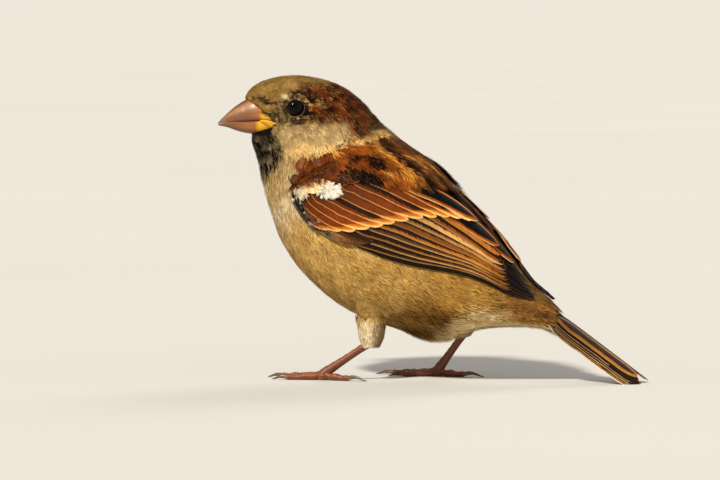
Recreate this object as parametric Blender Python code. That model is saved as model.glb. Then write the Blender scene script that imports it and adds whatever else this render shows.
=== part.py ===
"""A male house sparrow in autumn plumage, life size, standing with its head turned a little to its left.

Metres, +Z up.  The bird faces -X, its left side is -Y, and its feet and tail tip rest on z = 0.
Head, neck and trunk are one lofted form parted by thin cuts, and wings are shells laid on that form.
"""

import math
from collections import namedtuple

import bpy
import bmesh
import numpy as np
from mathutils import Vector

MM = 0.001
GAP = 0.3 * MM  # clear space between neighbouring solids

# ---------------------------------------------------------------- driving dimensions
HEAD_TURN = math.radians(15)  # the head looks this far to the bird's left of its body
TURN_PIVOT_X = -31 * MM  # upright axis in the neck that the head turns on
TURN_FULL, TURN_NONE = 4.5, 8.5  # the turn fades out between these rings of the body

EYE_CENTRE = Vector((-41.7, 6.5, 81.1)) * MM  # before the turn, right side
EYE_RADIUS = 3.3 * MM
BILL_LENGTH = 17.5 * MM  # tip to the hidden rear end
BILL_TIP = Vector((-64.75, 0, 76.2)) * MM

TARSUS_RADIUS = 1.1 * MM
PAD_HEIGHTS = [0, 0.4, 1.3, 2.3, 3.2]  # mm, up the pad where the toes meet
PAD_RADII = [1.15, 1.60, 1.80, 1.55, 0.90]
TOE_ROOT_HEIGHT = 1.65 * MM
TOE_RADIUS = 1.05 * MM
TOE_LENGTHS = {"hind": 8.5 * MM, "inner": 10.5 * MM, "middle": 14.5 * MM, "outer": 11.0 * MM}
TOE_SPREAD = {"hind": 180, "inner": 27, "middle": 2, "outer": -24}  # degrees towards the other foot
CLAW_LENGTHS = {"hind": 6.0 * MM, "inner": 4.2 * MM, "middle": 4.8 * MM, "outer": 4.2 * MM}

TAIL_LENGTH = 28.0 * MM  # what stands clear of the coverts
TAIL_DROP = math.radians(31.5)  # below level
TAIL_ROLL = math.radians(13)  # the left edge is the lower one
TAIL_HALF_WIDTHS = (4.9 * MM, 7.4 * MM)  # at the coverts, at the end
TAIL_ARCH = 2.6 * MM  # how far the edges droop below the middle feathers

RING_SEGMENTS = 28
RINGS_PER_STATION = 2

# ---------------------------------------------------------------- the body's rings
# Each ring is an oval in an upright plane square to the bird's left-right axis: its upper end on the
# crown or back, its lower end on the throat or belly (x, z in mm), its half width, and how much fuller
# it is below than above.  The rings fan round the throat, as the head looks level and the back slopes.
Ring = namedtuple("Ring", "name upper lower half_width low_bulge")
RINGS = [
    Ring("bill_base", (-56.9, 83.8), (-54.9, 72.5), 1.3, 0.00),
    Ring("lores", (-55.0, 86.6), (-54.5, 71.1), 2.9, -0.35),
    Ring("forehead", (-51.1, 89.0), (-53.9, 69.0), 4.5, -0.38),
    Ring("crown", (-43.6, 90.6), (-53.1, 66.5), 6.5, -0.22),
    Ring("cheek", (-35.4, 89.9), (-52.3, 63.5), 9.4, 0.00),
    Ring("ear", (-27.8, 87.3), (-51.8, 60.3), 11.0, 0.08),
    Ring("nape", (-21.4, 82.5), (-50.8, 56.9), 12.4, 0.08),
    Ring("neck", (-15.8, 76.1), (-50.0, 52.7), 14.2, 0.04),
    Ring("shoulders", (-8.4, 70.5), (-48.4, 47.3), 16.1, 0.00),
    Ring("mantle", (0.4, 64.5), (-45.4, 40.1), 17.5, 0.00),
    Ring("breast", (8.2, 55.5), (-38.4, 30.7), 18.1, 0.00),
    Ring("keel", (16.2, 46.3), (-26.6, 21.3), 17.9, 0.00),
    Ring("belly", (23.2, 37.5), (-12.8, 15.9), 16.5, 0.00),
    Ring("vent", (29.2, 30.1), (2.4, 12.6), 14.1, 0.00),
    Ring("rump", (34.8, 25.6), (19.4, 15.2), 10.9, 0.00),
    Ring("tail_coverts", (39.8, 21.2), (30.8, 14.7), 7.6, 0.00),
    Ring("tail_root", (43.9, 17.6), (38.8, 12.2), 5.4, 0.00),
]
STATION = {ring.name: i for i, ring in enumerate(RINGS)}
HEAD_END = 5.6  # the cut behind the ear coverts
NECK_END = 7.35  # the cut in front of the shoulders


def spline(rows, at):
    """Catmull-Rom curve through rows of numbers, read at a fractional row index."""
    rows = np.asarray(rows, float)
    at = min(max(at, 0.0), len(rows) - 1.0)
    i = min(int(at), len(rows) - 2)
    t = at - i
    before = rows[i - 1] if i > 0 else 2 * rows[0] - rows[1]
    after = rows[i + 2] if i + 2 < len(rows) else 2 * rows[-1] - rows[-2]
    a, b = rows[i], rows[i + 1]
    return 0.5 * (
        2 * a
        + (b - before) * t
        + (2 * before - 5 * a + 4 * b - after) * t**2
        + (3 * a - before - 3 * b + after) * t**3
    )


RING_ROWS = [[*r.upper, *r.lower, r.half_width, r.low_bulge] for r in RINGS]


def smoothstep(x):
    x = min(max(x, 0.0), 1.0)
    return x * x * (3 - 2 * x)


def head_turned(point, station):
    """The point after the head's turn, which fades out down the neck."""
    fade = 1 - smoothstep((station - TURN_FULL) / (TURN_NONE - TURN_FULL))
    c, s = math.cos(HEAD_TURN * fade), math.sin(HEAD_TURN * fade)
    x = point.x - TURN_PIVOT_X
    return Vector((TURN_PIVOT_X + c * x - s * point.y, s * x + c * point.y, point.z))


def ring_point(station, angle):
    """A point of the lofted form: angle 0 is the back, pi/2 the right flank, pi the belly."""
    ux, uz, lx, lz, wide, bulge = spline(RING_ROWS, station)
    share = (1 - math.cos(angle)) / 2
    side = wide * math.sin(angle) * (1 - bulge * math.cos(angle))
    flat = Vector((ux + (lx - ux) * share, side, uz + (lz - uz) * share)) * MM
    return head_turned(flat, station)


def body_point(station, angle, proud=0.0):
    """ring_point, moved outwards by proud."""
    here = ring_point(station, angle)
    if not proud:
        return here
    step = 0.02
    along = ring_point(station + step, angle) - ring_point(station - step, angle)
    around = ring_point(station, angle + step) - ring_point(station, angle - step)
    normal = along.cross(around)
    if normal.length == 0:
        return here
    normal.normalize()
    outward = here - (ring_point(station, 0) + ring_point(station, math.pi)) / 2
    return here + normal * (proud if normal.dot(outward) > 0 else -proud)


# ---------------------------------------------------------------- mesh tools
def clear_scene():
    for obj in list(bpy.data.objects):
        bpy.data.objects.remove(obj, do_unlink=True)


def material(name, colour, roughness):
    made = bpy.data.materials.new(name)
    made.use_nodes = True
    shader = made.node_tree.nodes["Principled BSDF"]
    shader.inputs["Base Color"].default_value = (*colour, 1)
    shader.inputs["Roughness"].default_value = roughness
    shader.inputs["Metallic"].default_value = 0.0
    return made


def add_object(name, points, faces, finish, smooth=True):
    mesh = bpy.data.meshes.new(name)
    mesh.from_pydata([tuple(p) for p in points], [], faces)
    work = bmesh.new()
    work.from_mesh(mesh)
    bmesh.ops.recalc_face_normals(work, faces=work.faces[:])
    bmesh.ops.triangulate(work, faces=work.faces[:])
    work.to_mesh(mesh)
    work.free()
    if smooth:
        mesh.shade_smooth()
        mesh.set_sharp_from_angle(angle=math.radians(50))
    mesh.materials.append(finish)
    obj = bpy.data.objects.new(name, mesh)
    bpy.context.scene.collection.objects.link(obj)
    return obj


def tube_faces(rows, columns):
    """Faces of a closed tube of rows rings with columns points each, with flat ends."""
    faces = [list(range(columns))[::-1], list(range((rows - 1) * columns, rows * columns))]
    for r in range(rows - 1):
        for c in range(columns):
            d = (c + 1) % columns
            faces.append([r * columns + c, r * columns + d, (r + 1) * columns + d, (r + 1) * columns + c])
    return faces


def add_tube(name, rings, finish):
    """A solid through a list of rings, each a list of as many points."""
    points = [p for ring in rings for p in ring]
    return add_object(name, points, tube_faces(len(rings), len(rings[0])), finish)


def round_tube(name, path, radii, finish, sides=10, upright=False, floor=False):
    """A tube of round sections along a path, which runs level or upright.

    On the floor, its underside is a flat at z = 0.
    """
    path = [Vector(p) for p in path]
    rings = []
    for i, centre in enumerate(path):
        ahead = path[min(i + 1, len(path) - 1)] - path[max(i - 1, 0)]
        ahead.normalize()
        across = ahead.cross(Vector((0, 1, 0)) if upright else Vector((0, 0, 1)))
        across.normalize()
        up = across.cross(ahead)
        ring = []
        for k in range(sides):
            a = 2 * math.pi * (k + 0.5) / sides
            p = centre + across * radii[i] * math.cos(a) + up * radii[i] * math.sin(a)
            if floor:
                p.z = max(p.z, 0.0)
            ring.append(p)
        rings.append(ring)
    return add_tube(name, rings, finish)


def boolean(target, other, operation, keep_other=False):
    """Applies a Boolean to target's mesh, and removes the other object unless it is kept as a guide."""
    change = target.modifiers.new(operation.lower(), "BOOLEAN")
    change.object = other
    change.operation = operation
    change.solver = "EXACT"
    graph = bpy.context.evaluated_depsgraph_get()
    result = bpy.data.meshes.new_from_object(target.evaluated_get(graph))
    target.modifiers.clear()
    work = bmesh.new()
    work.from_mesh(result)
    bmesh.ops.triangulate(work, faces=work.faces[:])
    bmesh.ops.dissolve_degenerate(work, edges=work.edges[:], dist=1e-7)
    work.to_mesh(result)
    work.free()
    result.shade_smooth()
    result.set_sharp_from_angle(angle=math.radians(50))
    target.data = result
    if not keep_other:
        bpy.data.objects.remove(other, do_unlink=True)


# ---------------------------------------------------------------- head, neck and trunk
def body_length(name, start, end, finish, proud=0.0):
    """The lofted form between two stations, as one closed solid."""
    count = max(2, round((end - start) * RINGS_PER_STATION) + 1)
    rings = []
    for i in range(count):
        station = start + (end - start) * i / (count - 1)
        around = [2 * math.pi * k / RING_SEGMENTS for k in range(RING_SEGMENTS)]
        rings.append([body_point(station, a, proud) for a in around])
    return add_tube(name, rings, finish)


def half_cut(station):
    """How far along the stations half a gap is, at the middle of the form."""
    step = 0.05
    middles = [(ring_point(s, 0) + ring_point(s, math.pi)) / 2 for s in (station, station + step)]
    return GAP / 2 * step / (middles[1] - middles[0]).length


def make_trunk_line(looks):
    """Head, neck and trunk, parted behind the ear coverts and before the shoulders."""
    last = len(RINGS) - 1
    a, b = half_cut(HEAD_END), half_cut(NECK_END)
    head = body_length("head", 0, HEAD_END - a, looks["crown"])
    neck = body_length("neck", HEAD_END + a, NECK_END - b, looks["breast"])
    trunk = body_length("trunk", NECK_END + b, last, looks["breast"])
    return head, neck, trunk


# ---------------------------------------------------------------- bill and eyes
BillStation = namedtuple("BillStation", "share culmen gape gonys half_width")
# share runs from the rear end to the tip; the three heights are mm above the tip.
BILL = [
    BillStation(0.00, 7.6, 0.2, -2.7, 4.20),
    BillStation(0.12, 8.2, 0.6, -2.9, 4.35),
    BillStation(0.26, 8.4, 1.0, -3.05, 4.25),
    BillStation(0.41, 8.0, 0.9, -3.1, 3.90),
    BillStation(0.60, 6.2, 0.7, -2.55, 3.00),
    BillStation(0.71, 4.9, 0.65, -1.95, 2.35),
    BillStation(0.83, 3.2, 0.5, -1.2, 1.50),
    BillStation(0.95, 1.35, 0.05, -0.75, 0.70),
    BillStation(1.00, 0.35, -0.2, -0.6, 0.35),
]
BILL_RINGS = 12


# Side view of where the face feathers stop, mm back from the tip and above it: down the front of the
# forehead, obliquely back to the gape, down to the jaw's corner and forward along the chin.
FACE_EDGE = [
    (-3.0, 9.5), (6.2, 9.5), (8.0, 7.4), (11.7, 5.2), (13.4, 3.9), (15.5, 1.9),
    (16.3, 0.6), (16.2, -0.6), (15.5, -3.2), (9.4, -3.5), (-3.0, -3.5),
]


def bill_ring(share, upper, proud=0.0):
    """The upper or lower mandible's section: a flat tomium and a rounded ridge or keel."""
    shares = [b.share for b in BILL]
    rows = [[b.culmen, b.gape, b.gonys, b.half_width] for b in BILL]
    culmen, gape, gonys, wide = spline(rows, np.interp(share, shares, range(len(BILL)))) * MM
    x = BILL_TIP.x + BILL_LENGTH * (1 - share)
    crest = (culmen + proud) if upper else (gonys - proud)
    # The lower mandible is a little narrower, and its tomium lies a gap below the upper one's.
    edge = gape + (GAP / 2 - proud if upper else -GAP / 2 + proud)
    wide = wide * (1.0 if upper else 0.92) + proud
    flat_points, arc_points = 2, 9
    ring = []
    for k in range(arc_points):
        a = math.pi * k / (arc_points - 1)
        ring.append((x, wide * math.cos(a), edge + (crest - edge) * math.sin(a) ** 0.85))
    for k in range(1, flat_points + 1):
        ring.append((x, -wide + 2 * wide * k / (flat_points + 1), edge))
    return [head_turned(Vector(p) + Vector((0, 0, BILL_TIP.z)), 0) for p in ring]


def make_mandible(name, upper, finish, proud=0.0):
    shares = [i / (BILL_RINGS - 1) for i in range(BILL_RINGS)]
    return add_tube(name, [bill_ring(s, upper, proud) for s in shares], finish)


def make_face_notch(finish):
    """The space ahead of the face feathers' edge, which bares the sides of the bill back to the gape."""
    outline = [(BILL_TIP.x + back * MM, BILL_TIP.z + up * MM) for back, up in FACE_EDGE]
    rings = [[head_turned(Vector((x, y, z)), 0) for x, z in outline] for y in (-9 * MM, 9 * MM)]
    return add_tube("face_notch", rings, finish)


def ball(name, centre, radius, finish, segments=15):
    mesh = bpy.data.meshes.new(name)
    work = bmesh.new()
    bmesh.ops.create_uvsphere(work, u_segments=segments, v_segments=segments * 2 // 3, radius=radius)
    bmesh.ops.rotate(work, verts=work.verts[:], matrix=Vector((0, 0, 1)).rotation_difference(
        Vector((0, 1, 0))).to_matrix())
    bmesh.ops.triangulate(work, faces=work.faces[:])
    work.to_mesh(mesh)
    work.free()
    mesh.shade_smooth()
    mesh.materials.append(finish)
    obj = bpy.data.objects.new(name, mesh)
    obj.location = centre
    bpy.context.scene.collection.objects.link(obj)
    return obj


def make_face(head, looks):
    """Bill and eyes, each in a socket of the head that clears it by a gap."""
    boolean(head, make_face_notch(looks["bill"]), "DIFFERENCE")
    for upper, name in ((True, "bill_upper"), (False, "bill_lower")):
        make_mandible(name, upper, looks["bill"])
        boolean(head, make_mandible(name + "_socket", upper, looks["bill"], proud=GAP), "DIFFERENCE")
    for side, name in ((1, "eye_right"), (-1, "eye_left")):
        centre = head_turned(Vector((EYE_CENTRE.x, side * EYE_CENTRE.y, EYE_CENTRE.z)), 0)
        ball(name, centre, EYE_RADIUS, looks["eye"])
        boolean(head, ball(name + "_socket", centre, EYE_RADIUS + GAP, looks["eye"]), "DIFFERENCE")


# ---------------------------------------------------------------- wings
# The folded wing's edges on the body form, as degrees round from the back at named stations.
WING_STATIONS = [7.25, 7.7, 8.3, 9.0, 9.6, 10.2, 11.0, 11.8, 12.6, 13.4, 13.95]
WING_TOP_EDGE = [98, 70, 47, 33, 23, 15, 9, 7, 9, 22, 35]
WING_LOW_EDGE = [112, 117, 118, 116, 108, 96, 81, 62, 50, 46.5, 43]
WING_FRONT = (7.25, 7.25)
COVERT_TIPS = (10.8, 9.4)  # stations where the coverts end, at the top edge and at the low edge
SECONDARY_TIPS = (12.45, 12.9)
PRIMARY_TIPS = (13.95, 13.95)
FEATHER_LINE = 0.78  # share of the way down where the secondaries meet the primaries
BARE_TOP, BARE_FROM, BARE_TO = 0.2, 12.93, 13.9  # past the secondaries the primaries show up to this share
SIDE_GAP = 1.4  # degrees, about a gap at the wing's distance from the middle of the body
WingPiece = namedtuple("WingPiece", "name start end top low thick rows columns")
WING_PIECES = [
    WingPiece("coverts", WING_FRONT, COVERT_TIPS, 0.0, 1.0, 3.3 * MM, 11, 10),
    WingPiece("secondaries", COVERT_TIPS, SECONDARY_TIPS, 0.0, FEATHER_LINE, 3.0 * MM, 8, 8),
    WingPiece("primaries", COVERT_TIPS, PRIMARY_TIPS, FEATHER_LINE, 1.0, 2.0 * MM, 12, 4),
]
Wing = namedtuple("Wing", "word side reach tuck")  # reach is how far back its tip lies, in stations
WINGS = [Wing("left", -1, 0.0, 1.0), Wing("right", 1, 0.45, 0.62)]
EDGE_THICKNESS = 0.9 * MM
END_GAP = 0.035  # stations between the coverts' end and what they cover


def wing_edge(degrees, station, wing):
    """An edge's angle.  A tucked wing's tip lies nearer to the middle of the rump."""
    plain = spline([[d] for d in degrees], np.interp(station, WING_STATIONS, range(len(degrees))))[0]
    return plain * (1 - (1 - wing.tuck) * smoothstep((station - 11.5) / 2.5))


def rounded(share):
    """0 at both ends of a shell, 1 over its middle."""
    return math.sin(math.pi * min(max(share, 0.0), 1.0)) ** 0.5


def shell(name, outer, inner, finish):
    """A solid between two grids of points, rows by columns, with a rim."""
    rows, columns = len(outer), len(outer[0])
    points = [p for row in outer for p in row] + [p for row in inner for p in row]
    half = rows * columns
    faces = []
    for r in range(rows - 1):
        for c in range(columns - 1):
            a, b = r * columns + c, (r + 1) * columns + c
            faces.append([a, a + 1, b + 1, b])
            faces.append([half + b, half + b + 1, half + a + 1, half + a])
    rim = [c for c in range(columns)]
    rim += [r * columns + columns - 1 for r in range(1, rows)]
    rim += [(rows - 1) * columns + c for c in range(columns - 2, -1, -1)]
    rim += [r * columns for r in range(rows - 2, 0, -1)]
    for i, a in enumerate(rim):
        b = rim[(i + 1) % len(rim)]
        faces.append([b, a, half + a, half + b])
    return add_object(name, points, faces, finish)


def make_wing(wing, looks):
    """Three shells on the trunk: coverts, secondaries with tertials, and primaries."""
    for piece in WING_PIECES:
        outer, inner = [], []
        behind_coverts = piece.start == COVERT_TIPS
        reach = wing.reach if piece.name == "primaries" else 0.0
        for r in range(piece.rows + 1):
            p = r / piece.rows
            outer.append([])
            inner.append([])
            for c in range(piece.columns + 1):
                q = c / piece.columns
                down = piece.top + (piece.low - piece.top) * q
                start = piece.start[0] + (piece.start[1] - piece.start[0]) * down + END_GAP * behind_coverts
                end = piece.end[0] + (piece.end[1] - piece.end[0]) * down + reach
                station = start + (end - start) * p
                if piece.name == "primaries":
                    bare = smoothstep((station - BARE_FROM) / (BARE_TO - BARE_FROM))
                    high = FEATHER_LINE + (BARE_TOP - FEATHER_LINE) * bare
                    down = high + (1 - high) * q
                top = wing_edge(WING_TOP_EDGE, station, wing)
                low = wing_edge(WING_LOW_EDGE, station, wing)
                inset = SIDE_GAP / 2 * (piece.top > 0) * (1 - q) - SIDE_GAP / 2 * (piece.low < 1) * q
                angle = wing.side * math.radians(top + (low - top) * down + inset)
                thick = EDGE_THICKNESS + (piece.thick - EDGE_THICKNESS) * rounded(p) * rounded(q)
                outer[-1].append(body_point(station, angle, GAP + thick))
                inner[-1].append(body_point(station, angle, GAP))
        shell(f"wing_{wing.word}_{piece.name}", outer, inner, looks[piece.name])


# ---------------------------------------------------------------- tail
def make_tail(looks):
    """The closed tail: a roof-shaped fan, a little notched, one edge just resting on the floor."""
    top, bottom = ring_point(STATION["tail_root"], 0), ring_point(STATION["tail_root"], math.pi)
    root = (top + bottom) / 2
    trunk_end = (top - bottom).cross(Vector((0, 1, 0))).normalized()
    trunk_end *= 1 if trunk_end.x > 0 else -1
    ahead = Vector((math.cos(TAIL_DROP), 0, -math.sin(TAIL_DROP)))
    up = Vector((math.sin(TAIL_DROP), 0, math.cos(TAIL_DROP)))
    across = Vector((0, 1, 0))
    rolled_across = across * math.cos(TAIL_ROLL) + up * math.sin(TAIL_ROLL)
    rolled_up = up * math.cos(TAIL_ROLL) - across * math.sin(TAIL_ROLL)
    rows, columns, notch, rounding = 8, 12, 1.2 * MM, 3.4 * MM
    outer, inner = [], []
    for r in range(rows + 1):
        p = r / rows
        half = TAIL_HALF_WIDTHS[0] + (TAIL_HALF_WIDTHS[1] - TAIL_HALF_WIDTHS[0]) * p**0.8
        thick = (4.4 - 3.0 * smoothstep(1.5 * p)) * MM
        outer.append([])
        inner.append([])
        for c in range(columns + 1):
            q = 2 * c / columns - 1
            end = TAIL_LENGTH - notch * (1 - abs(q)) ** 2 - rounding * abs(q) ** 4
            arch = TAIL_ARCH * q * q * (0.45 + 0.55 * p)
            middle = rolled_across * half * q - rolled_up * (arch - 0.2 * MM)
            edge = 0.5 * (0.55 + 0.45 * (1 - q * q) ** 0.5)
            for grid, place in ((outer, middle + rolled_up * thick * edge),
                                (inner, middle - rolled_up * thick * edge)):
                start = (GAP - trunk_end.dot(place)) / trunk_end.dot(ahead)
                grid[-1].append(root + place + ahead * (start + (end - start) * p))
    for above, below in zip(sum(outer, []), sum(inner, [])):
        below.z = max(below.z, 0.0)
        above.z = max(above.z, below.z + 0.7 * MM)
    shell("tail", outer, inner, looks["tail"])


# ---------------------------------------------------------------- legs and feet
Leg = namedtuple("Leg", "word side hip shank tuft_end heel foot heading")
# Points in mm (x, y, z): three down the feathered shank, the heel hidden in it, and the ball of the
# foot; then the way the middle toe points, in degrees left of straight ahead.
LEGS = [
    Leg("left", -1, (-16.8, -8.5, 25.0), (-15.9, -9.4, 16.0), (-16.0, -9.6, 8.4),
        (-14.8, -9.5, 12.2), (-30.0, -12.0, 1.9), -14),
    Leg("right", 1, (8.5, 8.5, 22.0), (8.0, 9.2, 17.0), (6.8, 9.4, 11.0),
        (8.9, 9.4, 14.6), (-0.6, 11.0, 1.9), -6),
]
SHANK_RADII = [6.0 * MM, 5.4 * MM, 4.7 * MM, 4.1 * MM, 2.9 * MM, 0.9 * MM]
SHANK_SHARES = [0, 0.3, 0.5, 0.72, 0.92, 1.0]  # where along the shank those radii lie
TARSUS_SWELL = [1.3, 1.05, 0.95, 0.97, 1.05, 1.2, 1.4]  # thicker at the heel and at the toes


def between(a, b, count):
    a, b = Vector(a), Vector(b)
    return [a + (b - a) * i / (count - 1) for i in range(count)]


def toe_direction(leg, toe):
    """A unit vector along the floor.  Spread turns towards the other foot."""
    angle = math.radians(-leg.heading - leg.side * TOE_SPREAD[toe])
    return Vector((-math.cos(angle), math.sin(angle), 0))


def foot_centre(leg, height):
    return Vector((leg.foot[0] * MM, leg.foot[1] * MM, height))


def toe_path(leg, toe, proud):
    """Centres and radii along a toe, with a slight swelling at each joint pad."""
    ahead = toe_direction(leg, toe)
    joints = 3 if toe == "middle" else 2
    count = 4 * joints + 1
    path, radii = [], []
    for i in range(count):
        share = i / (count - 1)
        swell = 1 + 0.10 * math.cos(2 * math.pi * joints * share)
        radius = TOE_RADIUS * (1.12 - 0.30 * share) * swell
        height = TOE_ROOT_HEIGHT + (radius * 0.86 - TOE_ROOT_HEIGHT) * smoothstep(2.6 * share)
        along = TOE_LENGTHS[toe] * share + proud * (share == 1)
        path.append(foot_centre(leg, height) + ahead * along)
        radii.append(radius + proud)
    return path, radii


def make_foot(leg, looks, proud=0.0):
    """A pad with a flat sole, and its four toes, as one solid."""
    ends = [-proud, 0, 0, 0, proud]
    path = [foot_centre(leg, h * MM + end) for h, end in zip(PAD_HEIGHTS, ends)]
    radii = [r * MM + proud for r in PAD_RADII]
    foot = round_tube(f"foot_{leg.word}", path, radii, looks["leg"], upright=True)
    for toe in TOE_LENGTHS:
        path, radii = toe_path(leg, toe, proud)
        boolean(foot, round_tube(toe, path, radii, looks["leg"], sides=8, floor=not proud), "UNION")
    return foot


def make_claw(leg, toe, looks):
    """A curved, tapering claw that springs from the toe's end and comes down on the floor."""
    root = toe_path(leg, toe, 0.0)[0][-1]
    ahead = toe_direction(leg, toe)
    length, count = CLAW_LENGTHS[toe], 7
    path, radii = [], []
    rise = 0.55 * MM if toe == "hind" else 0.35 * MM
    for i in range(count):
        share = i / (count - 1)
        lift = rise * math.sin(math.pi * min(share * 1.25, 1.0))
        height = root.z + lift - (root.z - 0.30 * MM) * share**1.8
        path.append(root + ahead * (GAP + length * share) + Vector((0, 0, height - root.z)))
        radii.append((0.68 - 0.40 * share) * MM)
    round_tube(f"claw_{leg.word}_{toe}", path, radii, looks["claw"], sides=8, floor=True)


def make_leg(leg, looks, trunk_space):
    """The feathered shank, with a socket for the bare tarsus, which stands on the foot."""
    rows = [leg.hip, leg.shank, leg.tuft_end]
    shares = [0, 0.15, 0.3, 0.5, 0.62, 0.72, 0.82, 0.92, 1.0]
    path = [Vector(spline(rows, 2 * share)) * MM for share in shares]
    radii = np.interp(shares, SHANK_SHARES, SHANK_RADII)
    shank = round_tube(f"shank_{leg.word}", path, radii, looks["breast"], sides=14, upright=True)
    boolean(shank, trunk_space, "DIFFERENCE", keep_other=True)

    tarsus = make_tarsus(leg, looks)
    boolean(tarsus, make_foot(leg, looks, proud=GAP), "DIFFERENCE")
    boolean(tarsus, trunk_space, "DIFFERENCE", keep_other=True)
    boolean(shank, make_tarsus(leg, looks, proud=GAP), "DIFFERENCE")
    make_foot(leg, looks)
    for toe in TOE_LENGTHS:
        make_claw(leg, toe, looks)


def make_tarsus(leg, looks, proud=0.0):
    heel, foot = Vector(leg.heel) * MM, Vector(leg.foot) * MM
    top = heel - (foot - heel).normalized() * proud
    radii = [TARSUS_RADIUS * s + proud for s in TARSUS_SWELL]
    path = between(top, foot, len(TARSUS_SWELL))
    return round_tube(f"tarsus_{leg.word}", path, radii, looks["leg"], sides=12, upright=True)


# ---------------------------------------------------------------- the whole bird
def stand_on_origin():
    """Moves everything so that the box's bottom centre is the origin."""
    bpy.context.view_layer.update()
    shown = [o for o in bpy.data.objects if not o.hide_render]
    corners = np.array([o.matrix_world @ v.co for o in shown for v in o.data.vertices])
    low, high = corners.min(axis=0), corners.max(axis=0)
    shift = Vector((-(low[0] + high[0]) / 2, -(low[1] + high[1]) / 2, -low[2]))
    for obj in bpy.data.objects:
        obj.location += shift


def main():
    clear_scene()
    looks = {
        "crown": material("crown_feathers", (0.22, 0.13, 0.07), 0.8),
        "breast": material("breast_feathers", (0.42, 0.32, 0.20), 0.85),
        "coverts": material("covert_feathers", (0.30, 0.11, 0.035), 0.7),
        "secondaries": material("secondary_feathers", (0.20, 0.10, 0.04), 0.65),
        "primaries": material("primary_feathers", (0.07, 0.045, 0.03), 0.6),
        "tail": material("tail_feathers", (0.12, 0.08, 0.05), 0.65),
        "bill": material("bill_horn", (0.38, 0.18, 0.08), 0.35),
        "eye": material("eye_dark", (0.01, 0.006, 0.004), 0.08),
        "leg": material("leg_skin", (0.30, 0.13, 0.07), 0.5),
        "claw": material("claw_horn", (0.05, 0.03, 0.025), 0.35),
    }
    head, neck, trunk = make_trunk_line(looks)
    make_face(head, looks)
    for wing in WINGS:
        make_wing(wing, looks)
    make_tail(looks)
    trunk_space = body_length("trunk_space", NECK_END, len(RINGS) - 1, looks["breast"], proud=GAP)
    trunk_space.hide_render = True
    trunk_space.display_type = "WIRE"
    for leg in LEGS:
        make_leg(leg, looks, trunk_space)
    bpy.data.objects.remove(trunk_space, do_unlink=True)
    stand_on_origin()


main()
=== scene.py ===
"""Looks of a male house sparrow in autumn plumage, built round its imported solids.

One feathered skin replaces the flesh.  Soft contour feathers are tufts of fine barbs, and the feathers
of back, wings and tail are vanes, all laid on the same lofted form as the solids.  Lengths are in
millimetres until a mesh is made.  The bird faces -X and its left side is -Y.
"""

import math
from collections import namedtuple
from itertools import product

import bpy
import numpy as np
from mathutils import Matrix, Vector
from mathutils.kdtree import KDTree


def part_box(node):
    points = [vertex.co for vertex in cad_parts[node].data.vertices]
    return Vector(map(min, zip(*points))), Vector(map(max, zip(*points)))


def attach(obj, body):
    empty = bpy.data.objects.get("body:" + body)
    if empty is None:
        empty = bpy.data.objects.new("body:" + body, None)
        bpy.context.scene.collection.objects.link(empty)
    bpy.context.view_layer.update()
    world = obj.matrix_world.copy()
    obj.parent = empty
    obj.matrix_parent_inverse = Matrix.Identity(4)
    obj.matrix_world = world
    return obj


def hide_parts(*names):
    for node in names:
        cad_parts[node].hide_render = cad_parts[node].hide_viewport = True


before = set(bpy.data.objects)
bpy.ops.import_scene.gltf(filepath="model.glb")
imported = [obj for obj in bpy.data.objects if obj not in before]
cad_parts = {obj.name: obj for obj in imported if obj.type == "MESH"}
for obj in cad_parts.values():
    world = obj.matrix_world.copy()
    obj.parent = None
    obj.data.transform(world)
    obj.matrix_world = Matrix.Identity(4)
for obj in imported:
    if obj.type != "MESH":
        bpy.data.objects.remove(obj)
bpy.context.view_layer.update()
MM = 0.001
RANDOM = np.random.default_rng(7)
DERIVATIVE_STEP = 0.01  # of a station or a radian

# ---------------------------------------------------------------- the form, as in the solids
HEAD_TURN = math.radians(15)
TURN_PIVOT_X = -31.0
TURN_FULL, TURN_NONE = 4.5, 8.5
EYE = np.array([-41.7, 6.5, 81.1])  # before the head's turn, right side
EYE_RADIUS = 3.3
LID_PLANE = EYE[1] + 2.15  # how far out the eye's rim lies
BILL_LENGTH = 17.5
BILL_TIP = np.array([-64.75, 0.0, 76.2])

# Upper end and lower end (x, z), half width, and how much fuller the ring is below than above.
RINGS = {
    "bill_base": (-56.9, 83.8, -54.9, 72.5, 1.3, 0.00),
    "lores": (-55.0, 86.6, -54.5, 71.1, 2.9, -0.35),
    "forehead": (-51.1, 89.0, -53.9, 69.0, 4.5, -0.38),
    "crown": (-43.6, 90.6, -53.1, 66.5, 6.5, -0.22),
    "cheek": (-35.4, 89.9, -52.3, 63.5, 9.4, 0.00),
    "ear": (-27.8, 87.3, -51.8, 60.3, 11.0, 0.08),
    "nape": (-21.4, 82.5, -50.8, 56.9, 12.4, 0.08),
    "neck": (-15.8, 76.1, -50.0, 52.7, 14.2, 0.04),
    "shoulders": (-8.4, 70.5, -48.4, 47.3, 16.1, 0.00),
    "mantle": (0.4, 64.5, -45.4, 40.1, 17.5, 0.00),
    "breast": (8.2, 55.5, -38.4, 30.7, 18.1, 0.00),
    "keel": (16.2, 46.3, -26.6, 21.3, 17.9, 0.00),
    "belly": (23.2, 37.5, -12.8, 15.9, 16.5, 0.00),
    "vent": (29.2, 30.1, 2.4, 12.6, 14.1, 0.00),
    "rump": (34.8, 25.6, 19.4, 15.2, 10.9, 0.00),
    "tail_coverts": (39.8, 21.2, 30.8, 14.7, 7.6, 0.00),
    "tail_root": (43.9, 17.6, 38.8, 12.2, 5.4, 0.00),
}
LAST = len(RINGS) - 1.0

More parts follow.
